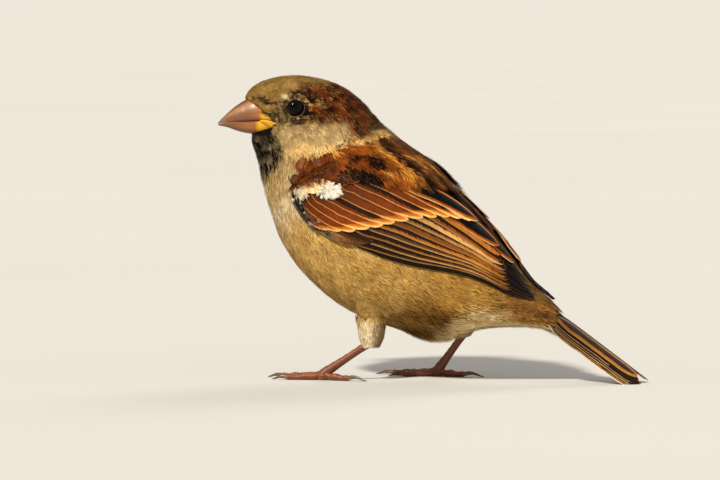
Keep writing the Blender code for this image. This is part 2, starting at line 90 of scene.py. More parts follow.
# The folded wing's edges on the body, as degrees round from the back at named stations.
WING_STATIONS = [7.25, 7.7, 8.3, 9.0, 9.6, 10.2, 11.0, 11.8, 12.6, 13.4, 13.95]
WING_TOP = [98, 70, 47, 33, 23, 15, 9, 7, 9, 22, 35]
WING_LOW = [112, 117, 118, 116, 108, 96, 81, 62, 50, 46.5, 43]

TAIL_LENGTH = 28.0
TAIL_DROP = math.radians(31.5)
TAIL_ROLL = math.radians(13)
TAIL_HALF_WIDTHS = (4.9, 7.4)
TAIL_ARCH = 2.6


def smoothstep(x):
    x = np.clip(x, 0.0, 1.0)
    return x * x * (3 - 2 * x)


def rise(value, start, end):
    """0 before start, 1 after end, smooth between."""
    return smoothstep((np.asarray(value, float) - start) / (end - start))


def fall(value, start, end):
    """1 before start, 0 after end, smooth between."""
    return 1 - rise(value, start, end)


def turns(count):
    """Angles spread evenly round a full turn."""
    return np.linspace(0, 2 * math.pi, count + 1)[:-1]


def lattice(rows, columns):
    """Two grids that hold every pair of a row's number and a column's number."""
    return np.meshgrid(rows, columns, indexing="ij")


def degrees_round(angle):
    """Degrees round the body from the middle of the back, alike on both sides."""
    return np.degrees(np.abs((angle + math.pi) % (2 * math.pi) - math.pi))


def mix(a, b, share):
    """Colours a and b blended by each share of b."""
    return a + (b - a) * np.asarray(share)[..., None]


def padded(rows):
    """Rows of a Catmull-Rom curve with one more at each end."""
    rows = np.asarray(rows, float)
    rows = rows[:, None] if rows.ndim == 1 else rows
    return np.vstack([2 * rows[0] - rows[1], rows, 2 * rows[-1] - rows[-2]])


def spline(rows, at):
    """The curve through padded rows, read at fractional row indices, straight past its ends."""
    last = len(rows) - 3
    inside = np.clip(at, 0, last)
    i = np.minimum(inside.astype(int), last - 1)
    t = (inside - i)[..., None]
    before, a, b, after = (rows[i + k] for k in range(4))
    curve = 0.5 * (
        2 * a + (b - before) * t + (2 * before - 5 * a + 4 * b - after) * t**2
        + (3 * a - before - 3 * b + after) * t**3
    )
    over = (at - inside)[..., None]
    return curve + np.where(over > 0, rows[-1] - rows[-2], rows[1] - rows[0]) * over


RING_ROWS = padded(list(RINGS.values()))
TOP_ROWS, LOW_ROWS = padded(WING_TOP), padded(WING_LOW)


def flat_point(station, angle):
    """A point of the form before the head's turn."""
    ux, uz, lx, lz, wide, bulge = np.moveaxis(spline(RING_ROWS, station), -1, 0)
    share = (1 - np.cos(angle)) / 2
    side = wide * np.sin(angle) * (1 - bulge * np.cos(angle))
    return np.stack([ux + (lx - ux) * share, side, uz + (lz - uz) * share], -1)


def head_turned(point, station=0.0):
    """The point with the head's turn to one side, which fades out down the neck."""
    fade = fall(station, TURN_FULL, TURN_NONE)
    c, s = np.cos(HEAD_TURN * fade), np.sin(HEAD_TURN * fade)
    x, y, z = np.moveaxis(np.asarray(point, float), -1, 0)
    x = x - TURN_PIVOT_X
    return np.stack([TURN_PIVOT_X + c * x - s * y, s * x + c * y, z + 0 * x], -1)


def socket_shift(flat):
    """How far the head's surface moves sideways round the eye, to meet the lids."""
    reach = np.hypot(flat[..., 0] - EYE[0], flat[..., 2] - EYE[2])
    share = fall(reach, 2.7, 5.6)
    return np.where(flat[..., 1] < 0, -1, 1) * share * (LID_PLANE - np.abs(flat[..., 1]))


def body(station, angle):
    """The coat's outer surface: angle 0 is the back, pi/2 the right flank, pi the belly."""
    station, angle = np.broadcast_arrays(np.asarray(station, float), np.asarray(angle, float))
    flat = flat_point(station, angle)
    flat[..., 1] += socket_shift(flat) * (station < 7)
    return head_turned(flat, station)


def wing_edges(station):
    """The folded wing's top and low edges, as degrees round from the back."""
    at = np.interp(station, WING_STATIONS, range(len(WING_STATIONS)))
    return spline(TOP_ROWS, at)[..., 0], spline(LOW_ROWS, at)[..., 0]


Wing = namedtuple("Wing", "word side reach tuck")  # reach: how far back its tip lies, in stations
WINGS = [Wing("left", -1, 0.0, 1.0), Wing("right", 1, 0.45, 0.62)]


def tucked(station, tuck):
    """How much nearer to the back the wing lies towards its tip."""
    return 1 - (1 - tuck) * rise(station, 11.5, 14.0)


def wing_angle(station, down, wing):
    """The angle of a place on the wing, down from its top edge (0) to its low edge (1)."""
    top, low = wing_edges(station)
    return wing.side * np.radians((top + (low - top) * down) * tucked(station, wing.tuck))


def tail_axes():
    """Directions along the tail, across it and out of its upper side."""
    ahead = np.array([math.cos(TAIL_DROP), 0, -math.sin(TAIL_DROP)])
    up = np.array([math.sin(TAIL_DROP), 0, math.cos(TAIL_DROP)])
    across = np.array([0.0, 1.0, 0.0])
    c, s = math.cos(TAIL_ROLL), math.sin(TAIL_ROLL)
    return ahead, across * c + up * s, up * c - across * s


TAIL_AHEAD, TAIL_ACROSS, TAIL_UP = tail_axes()
TAIL_START = (flat_point(np.array(LAST), np.array(0.0)) + flat_point(np.array(LAST), np.array(math.pi))) / 2


def tail(along, across):
    """The tail's upper surface, from millimetres along and across it."""
    along, across = np.broadcast_arrays(np.asarray(along, float), np.asarray(across, float))
    share = np.clip(along / TAIL_LENGTH, 0, 1)
    half = TAIL_HALF_WIDTHS[0] + (TAIL_HALF_WIDTHS[1] - TAIL_HALF_WIDTHS[0]) * share**0.8
    arch = TAIL_ARCH * (across / half) ** 2 * (0.45 + 0.55 * share)
    point = TAIL_START + along[..., None] * TAIL_AHEAD + across[..., None] * TAIL_ACROSS
    return point + (1.1 - arch)[..., None] * TAIL_UP


def frames(surface, u, v):
    """Point, its two derivatives and the outward normal of a surface at (u, v)."""
    h = DERIVATIVE_STEP
    u, v = np.broadcast_arrays(np.asarray(u, float), np.asarray(v, float))
    point = surface(u, v)
    along = (surface(u + h, v) - surface(u - h, v)) / (2 * h)
    around = (surface(u, v + h) - surface(u, v - h)) / (2 * h)
    normal = np.cross(along, around)
    normal /= np.linalg.norm(normal, axis=-1, keepdims=True) + 1e-9
    outward = TAIL_UP if surface is tail else point - getattr(surface, "middle", ring_middle)(u)
    return point, along, around, normal * np.sign((normal * outward).sum(-1, keepdims=True))


def ring_middle(station):
    """The middle between back and belly."""
    return (body(station, 0.0) + body(station, math.pi)) / 2


def wing_height(station, down):
    """How far the wing's surface stands above the body."""
    arch = np.sqrt(np.sin(math.pi * np.clip(down, 0.02, 0.98)))
    along = rise(station, 6.9, 8.3) * (1 - 0.6 * rise(station, 11.3, 13.9))
    return 0.55 + 1.85 * arch * along


def wing_surface(wing):
    """The wing's surface by station and share down from its top edge."""
    def at(station, down):
        place, _, _, normal = frames(body, station, wing_angle(station, down, wing))
        return place + normal * wing_height(station, down)[..., None]
    return at


def wing_share(station, angle):
    """Where an angle lies between the folded wing's edges: 0 at its top edge, 1 at its low edge."""
    top, low = wing_edges(station)
    tuck = tucked(station, np.where(angle < 0, WINGS[0].tuck, WINGS[1].tuck))
    return (degrees_round(angle) / tuck - top) / (low - top)


def padded_back(station, angle):
    """The body with the folded wings' rise on it, as the mantle and scapulars lie."""
    place, _, _, normal = frames(body, station, angle)
    share = wing_share(station, angle)
    inside = rise(share, -0.22, 0.10) * fall(share, 0.96, 1.02)
    inside = inside * rise(station, 6.9, 7.6) * fall(station, 13.6, 14.0)
    return place + normal * (wing_height(station, share) * inside)[..., None]


def unit(v):
    return v / (np.linalg.norm(v, axis=-1, keepdims=True) + 1e-12)


def dot(a, b):
    return (a * b).sum(-1)


def steps(along, around, move):
    """The change of (u, v) that moves a point of the surface by the tangent vector move."""
    aa, bb, ab = dot(along, along), dot(around, around), dot(along, around)
    am, bm = dot(along, move), dot(around, move)
    det = aa * bb - ab * ab + 1e-9
    return (bb * am - ab * bm) / det, (aa * bm - ab * am) / det


# ---------------------------------------------------------------- meshes
SHIFT = np.array(sum(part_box("eye_right"), Vector())) / 2 / MM - head_turned(EYE)  # the solids' own shift


def add_mesh(name, points, faces, finish, fields=None, uv=None):
    """A mesh from millimetre points and arrays of faces, with named per-vertex fields."""
    mesh = bpy.data.meshes.new(name)
    points = (np.asarray(points, float).reshape(-1, 3) + SHIFT) * MM
    points[:, 2] = np.maximum(points[:, 2], 0.0)  # nothing sinks into the floor
    faces = [np.asarray(f) for f in faces if len(f)]
    corners = np.concatenate([f.reshape(-1) for f in faces])
    sizes = np.concatenate([np.full(len(f), f.shape[1]) for f in faces])
    mesh.vertices.add(len(points))
    mesh.vertices.foreach_set("co", points.reshape(-1).astype(np.float32))
    mesh.loops.add(len(corners))
    mesh.loops.foreach_set("vertex_index", corners.astype(np.int32))
    mesh.polygons.add(len(sizes))
    mesh.polygons.foreach_set("loop_start", (np.cumsum(sizes) - sizes).astype(np.int32))
    mesh.update(calc_edges=True)
    for field, values in (fields or {}).items():
        values = np.asarray(values, np.float32).reshape(len(points), 3)
        values = np.hstack([values, np.ones((len(values), 1), np.float32)])
        layer = mesh.attributes.new(field, "FLOAT_COLOR", "POINT")
        layer.data.foreach_set("color", values.reshape(-1))
    if uv is not None:
        layer = mesh.uv_layers.new(name="OFBake")
        layer.data.foreach_set("uv", np.asarray(uv, np.float32).reshape(-1, 2)[corners].reshape(-1))
    mesh.polygons.foreach_set("use_smooth", np.full(len(sizes), True))
    mesh.materials.append(finish)
    mesh.validate()
    obj = bpy.data.objects.new(name, mesh)
    bpy.context.scene.collection.objects.link(obj)
    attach(obj, "root")
    return obj


def grid_faces(count, rows, columns, wrap=False):
    """Quads of count grids of rows x columns points, laid one after another."""
    r, c = lattice(np.arange(rows - 1), np.arange(columns - (not wrap)))
    d = (c + 1) % columns
    quad = np.stack([r * columns + c, r * columns + d, (r + 1) * columns + d, (r + 1) * columns + c], -1)
    starts = np.arange(count)[:, None, None] * rows * columns
    return (quad.reshape(1, -1, 4) + starts).reshape(-1, 4)


def add_tube(name, grid, finish, fields=None, caps=True):
    """A surface through a grid of points, closed round each row; caps closes its two ends."""
    rows, columns = grid.shape[:2]
    faces = [grid_faces(1, rows, columns, wrap=True)]
    points = grid.reshape(-1, 3)
    fields = {k: np.asarray(v).reshape(rows * columns, -1) for k, v in (fields or {}).items()}
    if caps:
        ends = np.array([grid[0].mean(0), grid[-1].mean(0)])
        points = np.vstack([points, ends])
        ring = np.arange(columns)
        ahead = (ring + 1) % columns
        first, last = rows * columns, rows * columns + 1
        faces.append(np.stack([ahead, ring, np.full(columns, first)], -1))
        base = (rows - 1) * columns
        faces.append(np.stack([base + ring, base + ahead, np.full(columns, last)], -1))
        fields = {k: np.vstack([v, v[:1], v[-1:]]) for k, v in fields.items()}
    return add_mesh(name, points, faces, finish, fields)


# ---------------------------------------------------------------- colours
def paint(red, green, blue):
    """A linear colour from the usual 0-255 numbers."""
    c = np.array([red, green, blue]) / 255
    return np.where(c <= 0.04045, c / 12.92, ((c + 0.055) / 1.055) ** 2.4)


CROWN, CROWN_PALE, CROWN_DARK = paint(136, 100, 46), paint(172, 136, 76), paint(76, 50, 20)
CHESTNUT, CHESTNUT_BRIGHT, CHESTNUT_DARK = paint(92, 36, 8), paint(138, 62, 16), paint(32, 12, 4)
BUFF_FRINGE = paint(198, 146, 80)
LORES, LORES_PALE = paint(70, 50, 24), paint(172, 144, 92)
CHEEK, CHEEK_PALE, CHEEK_DARK = paint(172, 138, 82), paint(210, 182, 128), paint(116, 84, 44)
BIB, BIB_FRINGE = paint(14, 10, 6), paint(196, 172, 128)
CREAM, COLLAR, COLLAR_PALE = paint(230, 208, 160), paint(206, 152, 76), paint(236, 196, 128)
BREAST, BREAST_PALE = paint(190, 152, 90), paint(226, 200, 146)
BELLY, BELLY_PALE, BELLY_DARK = paint(188, 146, 74), paint(218, 182, 112), paint(140, 100, 44)
FLANK, FLANK_DARK = paint(166, 118, 48), paint(116, 76, 28)
VENT_DARK, UNDERTAIL = paint(56, 34, 8), paint(222, 182, 108)
OLIVE_BACK, GOLD, BLACK = paint(124, 86, 40), paint(204, 118, 26), paint(12, 7, 4)
RUFOUS, RUFOUS_DARK, SHOULDER = paint(126, 58, 12), paint(66, 28, 8), paint(148, 72, 20)
WHITE, WHITE_BUFF = paint(250, 244, 228), paint(232, 200, 148)
COVERT, COVERT_EDGE, COVERT_TIP = paint(108, 46, 8), paint(190, 108, 34), paint(238, 184, 104)
WING_DARK, WING_RUFOUS, WING_EDGE = paint(36, 20, 8), paint(138, 78, 24), paint(222, 172, 102)
PRIMARY, PRIMARY_EDGE = paint(14, 9, 6), paint(66, 46, 28)
GOLD_PALE, TERTIAL_EDGE = paint(232, 164, 70), paint(172, 84, 18)
WING_PALE, WING_PINK, WING_BROWN = paint(216, 158, 88), paint(164, 114, 68), paint(104, 62, 28)
GOLD_BROWN, TERTIAL_RIM, GREY_BROWN = paint(176, 104, 34), paint(232, 196, 140), paint(120, 104, 88)
TAIL_DARK, TAIL_EDGE, TAIL_COVERT = paint(36, 22, 12), paint(176, 112, 40), paint(156, 100, 36)
RUMP, THROAT_WHITE = paint(122, 86, 42), paint(240, 228, 204)
THIGH, THIGH_DARK = paint(234, 214, 174), paint(150, 106, 56)


# ---------------------------------------------------------------- materials
SHAFT_SHADE = (0.25, 0.22, 0.20)


class Look:
    """A material's node tree, with short calls for the nodes used here."""

    def __init__(self, name):
        self.made = bpy.data.materials.new(name)
        self.made.use_nodes = True
        self.tree = self.made.node_tree
        self.shader = self.tree.nodes["Principled BSDF"]

    def node(self, kind, **settings):
        made = self.tree.nodes.new(kind)
        for key, value in settings.items():
            setattr(made, key, value)
        return made

    def link(self, source, target):
        """Feeds a socket, a number or a colour into a socket."""
        if isinstance(source, (int, float)):
            target.default_value = source
        elif isinstance(source, (tuple, list, np.ndarray)):
            values = [float(v) for v in source]
            target.default_value = values + [1.0] * (len(target.default_value) - len(values))
        else:
            self.tree.links.new(source, target)

    def math(self, operation, a, b=0.0, c=0.5, clamp=False):
        made = self.node("ShaderNodeMath", operation=operation, use_clamp=clamp)
        for value, socket in zip((a, b, c), made.inputs):
            self.link(value, socket)
        return made.outputs[0]

    def field(self, name, kind="Color"):
        return self.node("ShaderNodeAttribute", attribute_name=name).outputs[kind]

    def parts(self, name):
        """The three numbers of a field."""
        made = self.node("ShaderNodeSeparateXYZ")
        self.link(self.field(name, "Vector"), made.inputs[0])
        return made.outputs

    def mix(self, share, a, b, blend="MIX"):
        made = self.node("ShaderNodeMix", data_type="RGBA", blend_type=blend)
        for value, socket in ((share, "Factor"), (a, 6), (b, 7)):
            self.link(value, made.inputs[socket])
        return made.outputs[2]

    def toned(self, colour, tone, low, span):
        """The colour times low, and up to low + span where the tone is 1."""
        return self.mix(1.0, colour, self.math("MULTIPLY_ADD", tone, span, low), "MULTIPLY")

    def rise(self, value, start, end):
        made = self.node("ShaderNodeMapRange", interpolation_type="SMOOTHSTEP")
        for setting, socket in ((value, "Value"), (start, "From Min"), (end, "From Max")):
            self.link(setting, made.inputs[socket])
        return made.outputs[0]

    def fall(self, value, start, end):
        return self.math("SUBTRACT", 1.0, self.rise(value, start, end))

    def noise(self, scale, detail=2.0, roughness=0.5, vector=None):
        made = self.node("ShaderNodeTexNoise")
        made.inputs["Scale"].default_value = scale
        made.inputs["Detail"].default_value = detail
        made.inputs["Roughness"].default_value = roughness
        self.link(vector or self.object_place(), made.inputs["Vector"])
        return made.outputs[0]

    def object_place(self):
        return self.node("ShaderNodeTexCoord").outputs["Object"]

    def scaled(self, vector, scale):
        made = self.node("ShaderNodeVectorMath", operation="MULTIPLY")
        self.link(vector, made.inputs[0])
        made.inputs[1].default_value = scale
        return made.outputs[0]

    def bump(self, height, strength, distance):
        made = self.node("ShaderNodeBump")
        made.inputs["Strength"].default_value = strength
        made.inputs["Distance"].default_value = distance
        self.link(height, made.inputs["Height"])
        self.link(made.outputs[0], self.shader.inputs["Normal"])

    def surface(self, colour, roughness, coat=0.0, coat_roughness=0.1, specular=0.5):
        self.link(colour, self.shader.inputs["Base Color"])
        self.shader.inputs["Roughness"].default_value = roughness
        self.shader.inputs["Coat Weight"].default_value = coat
        self.shader.inputs["Coat Roughness"].default_value = coat_roughness
        self.shader.inputs["Sheen Weight"].default_value = 0.0
        self.shader.inputs["Sheen Roughness"].default_value = 0.5
        self.shader.inputs["Specular IOR Level"].default_value = specular


def tuft_look():
    """Barbs and skin: the colour field, with a fine change of tone from barb to barb."""
    look = Look("soft_plumage")
    colour = look.toned(look.field("plumage"), look.noise(1400.0, 3.0, 0.6), 0.76, 0.5)
    look.surface(colour, roughness=0.85, specular=0.08)
    return look.made


def vane_look():
    """A vane: inner colour, fringe and rim by distance from its outline, over slanting barbs."""
    look = Look("vane_plumage")
    across, along, number = look.parts("vane")  # -1..1 over the web, 0..1 from the root, one random number
    fringe_width, rim_width, outer_start = look.parts("pattern")  # mm, mm, a place across the web
    from_root, from_shaft, from_edge = look.parts("size")  # mm
    off_shaft = look.math("ABSOLUTE", from_shaft)
    # Barbs slant from the shaft to the tip.
    slant = look.math("SUBTRACT", from_root, look.math("MULTIPLY", off_shaft, 1.3))
    join = look.node("ShaderNodeCombineXYZ")
    for value, scale, socket in zip((slant, from_shaft, number), (4.5, 0.45, 37.0), join.inputs):
        look.link(look.math("MULTIPLY", value, scale), socket)
    barbs = look.noise(1.0, 3.0, 0.6, join.outputs[0])
    split = look.math("SUBTRACT", barbs, 0.5)
    edge = look.math("ADD", from_edge, look.math("MULTIPLY", split, 0.7))
    fringe = look.fall(look.math("DIVIDE", edge, fringe_width), 0.55, 1.25)
    rim = look.fall(look.math("DIVIDE", edge, rim_width), 0.5, 1.4)
    limit = look.math("ADD", look.math("SUBTRACT", across, outer_start), look.math("MULTIPLY", split, 0.8))
    shaft = look.math("MULTIPLY", look.fall(off_shaft, 0.04, 0.13), 0.6)
    colour = look.mix(look.rise(limit, -0.12, 0.16), look.field("inner"), look.field("outer"))
    colour = look.mix(shaft, colour, SHAFT_SHADE, "MULTIPLY")
    colour = look.mix(fringe, colour, look.field("fringe"))
    colour = look.mix(rim, colour, look.field("rim"))
    colour = look.toned(colour, barbs, 0.25, 1.5)
    colour = look.toned(colour, look.noise(260.0, 3.0, 0.6), 0.5, 1.0)
    # Painted shade: each vane darkens towards its root, where it lies under its neighbours.
    colour = look.toned(colour, look.rise(along, 0.10, 0.80), 0.5, 0.5)
    look.surface(colour, roughness=0.62, specular=0.08)
    look.bump(barbs, 0.6, 0.00010)
    return look.made


# ---------------------------------------------------------------- tufts of barbs
STRIP_AT = np.array([0.0, 0.42, 0.76, 1.0])  # where a barb's cross-sections lie along it
STRIP_WIDTH = np.array([1.0, 0.95, 0.62, 0.0])
TUFT_DROOP = 1.5  # how soon a barb comes up to its full height
OUTER_SHORTER = 0.28  # how much shorter a tuft's outermost barbs are
# How barbs differ from one another: shares of the tuft's length, width and rise, then sideways bend as a
# share of the length, loose rise in mm, and tone from barb to barb and from tuft to tuft.
BARB_LENGTHS, BARB_WIDTHS, BARB_RISES = (0.82, 1.12), (0.75, 1.25), (0.5, 1.4)
BARB_BEND, BARB_LOOSE = 0.06, 0.05
BARB_TONE, TUFT_TONE = 0.12, 0.16
DARKEST, LIGHTEST = 0.001, 0.95  # limits of the feathers' colours
TUFT_PATCH = 0.003  # of the unwrap, round the tuft's root
TRIES = 260000  # places tried for the roots of a coat
CELLS_BESIDE = list(product((-1, 0, 1), repeat=3))


def unwrap(station, angle):
    """Where a root lies on the unwrap of the skin's form."""
    return np.stack([(angle / (2 * math.pi)) % 1.0, station / (LAST + 2) + 0.03], -1)


def each_feather(values, count):
    """One number for each of count feathers, shaped to spread over the two axes of its points."""
    return np.broadcast_to(np.asarray(values, float), (count,))[:, None, None]


def tufts(name, station, angle, heading, length, half_width, barb, strips, depth, proud, colour,
          shade, look, surface=body, unwrapped=None):
    """Tufts of tapering barbs.  All but strips may be arrays with one number for each tuft.

    heading turns a tuft's lie from straight back, depth is how far below the surface it roots, proud
    how far above it ends, colour holds the colours of its middle and its tip, and shade is the share of
    them left at the root, a painted shade down among the other tufts.
    """
    count = len(station)
    length, half_width, barb, depth, proud, shade = (
        each_feather(values, count) for values in (length, half_width, barb, depth, proud, shade))
    _, along, around, normal = frames(surface, station, angle)
    ahead = unit(along)
    side = unit(np.cross(normal, ahead))
    side *= np.sign(dot(side, around))[:, None]
    turn = np.broadcast_to(heading, (count,))[:, None]
    lie = ahead * np.cos(turn) + side * np.sin(turn)
    across = side * np.cos(turn) - ahead * np.sin(turn)

    # Each strip is one barb: q is its place across the tuft, t runs from its root to its tip.
    per_strip = (count, strips, 1)
    q = np.linspace(-1, 1, strips)[None, :, None] + RANDOM.uniform(-0.5, 0.5, per_strip) / strips
    reach = length * (1 - OUTER_SHORTER * q**2) * RANDOM.uniform(*BARB_LENGTHS, per_strip)
    t = STRIP_AT[None, None, :]
    x = reach * t
    y = half_width * q * np.minimum(1.0, 1.7 * t) ** 0.8
    y = y + RANDOM.normal(0, BARB_BEND, per_strip) * length * t**2
    move = x[..., None] * lie[:, None, None] + y[..., None] * across[:, None, None]
    du, dv = steps(along[:, None, None], around[:, None, None], move)
    base, _, _, up = frames(surface, station[:, None, None] + du, angle[:, None, None] + dv)
    lift = proud * RANDOM.uniform(*BARB_RISES, per_strip) + RANDOM.normal(0, BARB_LOOSE, per_strip)
    height = -depth + (depth + lift) * (1 - (1 - t) ** TUFT_DROOP)
    centre = base + up * height[..., None]
    half = barb * 0.5 * STRIP_WIDTH[None, None, :] * RANDOM.uniform(*BARB_WIDTHS, per_strip)
    wide = across[:, None, None] * half[..., None]
    left, right = centre[:, :, :-1] - wide[:, :, :-1], centre[:, :, :-1] + wide[:, :, :-1]
    edges = np.stack([left, right], 3).reshape(count, strips, -1, 3)
    points = np.concatenate([edges, centre[:, :, -1:]], 2)

    tone = RANDOM.normal(1.0, BARB_TONE, (count, strips, 1, 1))
    tone = tone * RANDOM.normal(1.0, TUFT_TONE, (count, 1, 1, 1))
    at = np.append(np.repeat(STRIP_AT[:-1], 2), 1.0)
    shade = shade[..., None]
    # Painted shade: each barb darkens towards its root, down among the other tufts.
    fade = shade + (1 - shade) * rise(at, 0.15, 0.8)[None, None, :, None]
    colour = np.asarray(colour, float)[:, None, None, :]
    tints = mix(colour[..., :3], colour[..., 3:], 0.85 * rise(at, 0.7, 1.0)[None, None])
    tints = np.clip(tints * fade * tone, DARKEST, LIGHTEST)

    starts = (np.arange(count * strips) * points.shape[2])[:, None, None]
    quads = (np.array([[0, 1, 3, 2], [2, 3, 5, 4]])[None] + starts).reshape(-1, 4)
    ends = (np.array([[4, 5, 6]])[None] + starts).reshape(-1, 3)
    root = unwrap(station, angle) if unwrapped is None else unwrapped
    u = (y / (half_width + 1e-6)) * TUFT_PATCH / 2
    u = np.concatenate([np.repeat(u[:, :, :-1], 2, 2), u[:, :, -1:]], 2)
    v = np.broadcast_to(at * TUFT_PATCH, u.shape)
    uv = root[:, None, None, :] + np.stack([u, v], -1)
    obj = add_mesh(name, points, [quads, ends], look, {"plumage": tints.reshape(-1, 3)}, uv)
    return obj


def spread_roots(spacing, keep, stations, seed):
    """Roots strewn evenly over the body, spacing(station) apart, where keep(station, angle) says so."""
    rng = np.random.default_rng(seed)
    station = rng.uniform(*stations, TRIES)
    angle = rng.uniform(-math.pi, math.pi, TRIES)
    _, along, around, _ = frames(body, station, angle)
    gap = spacing(station)
    wanted = np.linalg.norm(np.cross(along, around), axis=-1) / gap**2
    chosen = (rng.uniform(0, 1, TRIES) < wanted / wanted.max()) & keep(station, angle)
    station, angle, gap = station[chosen], angle[chosen], gap[chosen]

    # A root is dropped where one kept before it, in its own cell or one beside it, is too near.
    places = body(station, angle)
    spots = places.tolist()
    kept, cells = [], {}
    for i, (x, y, z) in enumerate(np.floor(places / gap.max()).astype(int).tolist()):
        near = (j for dx, dy, dz in CELLS_BESIDE for j in cells.get((x + dx, y + dy, z + dz), ()))
        if all(math.dist(spots[j], spots[i]) >= 0.8 * gap[i] for j in near):
            cells.setdefault((x, y, z), []).append(i)
            kept.append(i)
    return station[kept], angle[kept]


# ---------------------------------------------------------------- vanes
VANE_ROWS, VANE_COLUMNS = 14, 8
ALONG = 1 - (1 - np.linspace(0, 1, VANE_ROWS + 1)) ** 1.5  # closer together at the rounded tip
ACROSS = np.linspace(-1, 1, VANE_COLUMNS + 1)
VANE_ROOT_WIDTH = 0.32  # as a share of the full width
VANE_RAGGED, VANE_LOOSE, VANE_TONE = 0.03, 0.03, 0.07  # how widths, heights in mm and tones differ
# root: share along where the vane is full width; tip: where its end starts to round; skew: how far the
# shaft lies off the middle; camber: how far the edges droop; tilt: how far the outer edge lies above
# the inner one, so that neighbours overlap like tiles; hem and end: shares of the fringe's width along
# the sides and round the tip.
Shape = namedtuple("Shape", "root tip skew camber tilt hem end", defaults=(0.30, 1.0))


def vanes(name, surface, paths, half_width, heights, tints, pattern, look, shape):
    """Feathers along paths (N, rows, 2) of surface coordinates.

    heights are those of root and tip above the surface.  tints are the inner web's, outer web's,
    fringe's and rim's colours.  pattern is the widths of fringe and rim in mm and the place across
    where the outer web's colour starts.
    """
    paths = np.asarray(paths, float)
    count, rows = paths.shape[:2]
    place, along, around, normal = frames(surface, paths[..., 0], paths[..., 1])
    travel = unit(np.gradient(place, axis=1))
    across = unit(np.cross(normal, travel))
    across *= np.sign(dot(across, around))[..., None]
    length = np.linalg.norm(np.diff(place, axis=1), axis=-1).sum(1)
    half_width, low, high, fringe, rim, outer_start = (
        each_feather(values, count) for values in (half_width, *heights, *pattern))

    t, q = ALONG[None, :, None], ACROSS[None, None, :]
    full = VANE_ROOT_WIDTH + (1 - VANE_ROOT_WIDTH) * rise(t, 0.0, shape.root)
    round_end = np.sqrt(np.clip(1 - (np.clip(t - shape.tip, 0, 1) / (1 - shape.tip)) ** 2.2, 0, 1))
    width = full * round_end * (1 + RANDOM.normal(0, VANE_RAGGED, (count, rows, 1)))
    side = half_width * width * (q + shape.skew * (1 - q**2))
    height = low + (high - low) * t + shape.tilt * q * width - shape.camber * q**2
    height = height + RANDOM.normal(0, VANE_LOOSE, (count, 1, 1))
    du, dv = steps(along[:, :, None], around[:, :, None], side[..., None] * across[:, :, None])
    base, _, _, up = frames(surface, paths[:, :, None, 0] + du, paths[:, :, None, 1] + dv)
    points = base + up * height[..., None]

    def each_point(*values):
        return np.stack([np.broadcast_to(v, side.shape) for v in values], -1)

    widen = shape.hem + (shape.end - shape.hem) * rise(t, 0.70, 0.95)
    fields = {
        "vane": each_point(q, t, RANDOM.uniform(0, 1, (count, 1, 1))),
        "pattern": each_point(np.maximum(fringe * widen, 0.01), np.maximum(rim * widen, 0.01), outer_start),
        "size": each_point(t * length[:, None, None], side, (1 - np.abs(q)) * width * half_width),
    }
    tone = RANDOM.normal(1.0, VANE_TONE, (count, 1))
    for key, colour in zip(("inner", "outer", "fringe", "rim"), tints):
        tint = np.clip(np.broadcast_to(colour, (count, 3)) * tone, DARKEST, LIGHTEST)
        fields[key] = np.repeat(tint, rows * len(ACROSS), 0)

    # Each feather has its own cell of the unwrap.
    columns = math.ceil(math.sqrt(2 * count))
    lines = math.ceil(count / columns)
    k = np.arange(count)
    corner = np.stack([(k % columns) / columns, (k // columns) / lines], -1)
    uv = corner[:, None, None, :] + each_point((q * 0.47 + 0.5) / columns, (0.03 + 0.94 * t) / lines)
    obj = add_mesh(name, points, [grid_faces(count, rows, len(ACROSS))], look, fields, uv)
    return obj


def straight(roots, tips, power=1.0):
    """Paths from roots to tips, whose second coordinate may hold back and change late (power over 1)."""
    roots, tips = np.asarray(roots, float), np.asarray(tips, float)
    path = roots[:, None] + (tips - roots)[:, None] * ALONG[None, :, None]
    path[..., 1] = roots[:, None, 1] + (tips - roots)[:, None, 1] * ALONG[None] ** power
    return path


def fan(count, *columns):
    """Rows of numbers for count feathers, each column read off a list of evenly spaced values."""
    at = np.linspace(0, 1, count)
    return np.stack([np.interp(at, np.linspace(0, 1, len(c)), c) for c in columns], -1)


ONE_COLOUR = 2.0  # an outer web that starts beyond the vane leaves it all in the inner web's colour


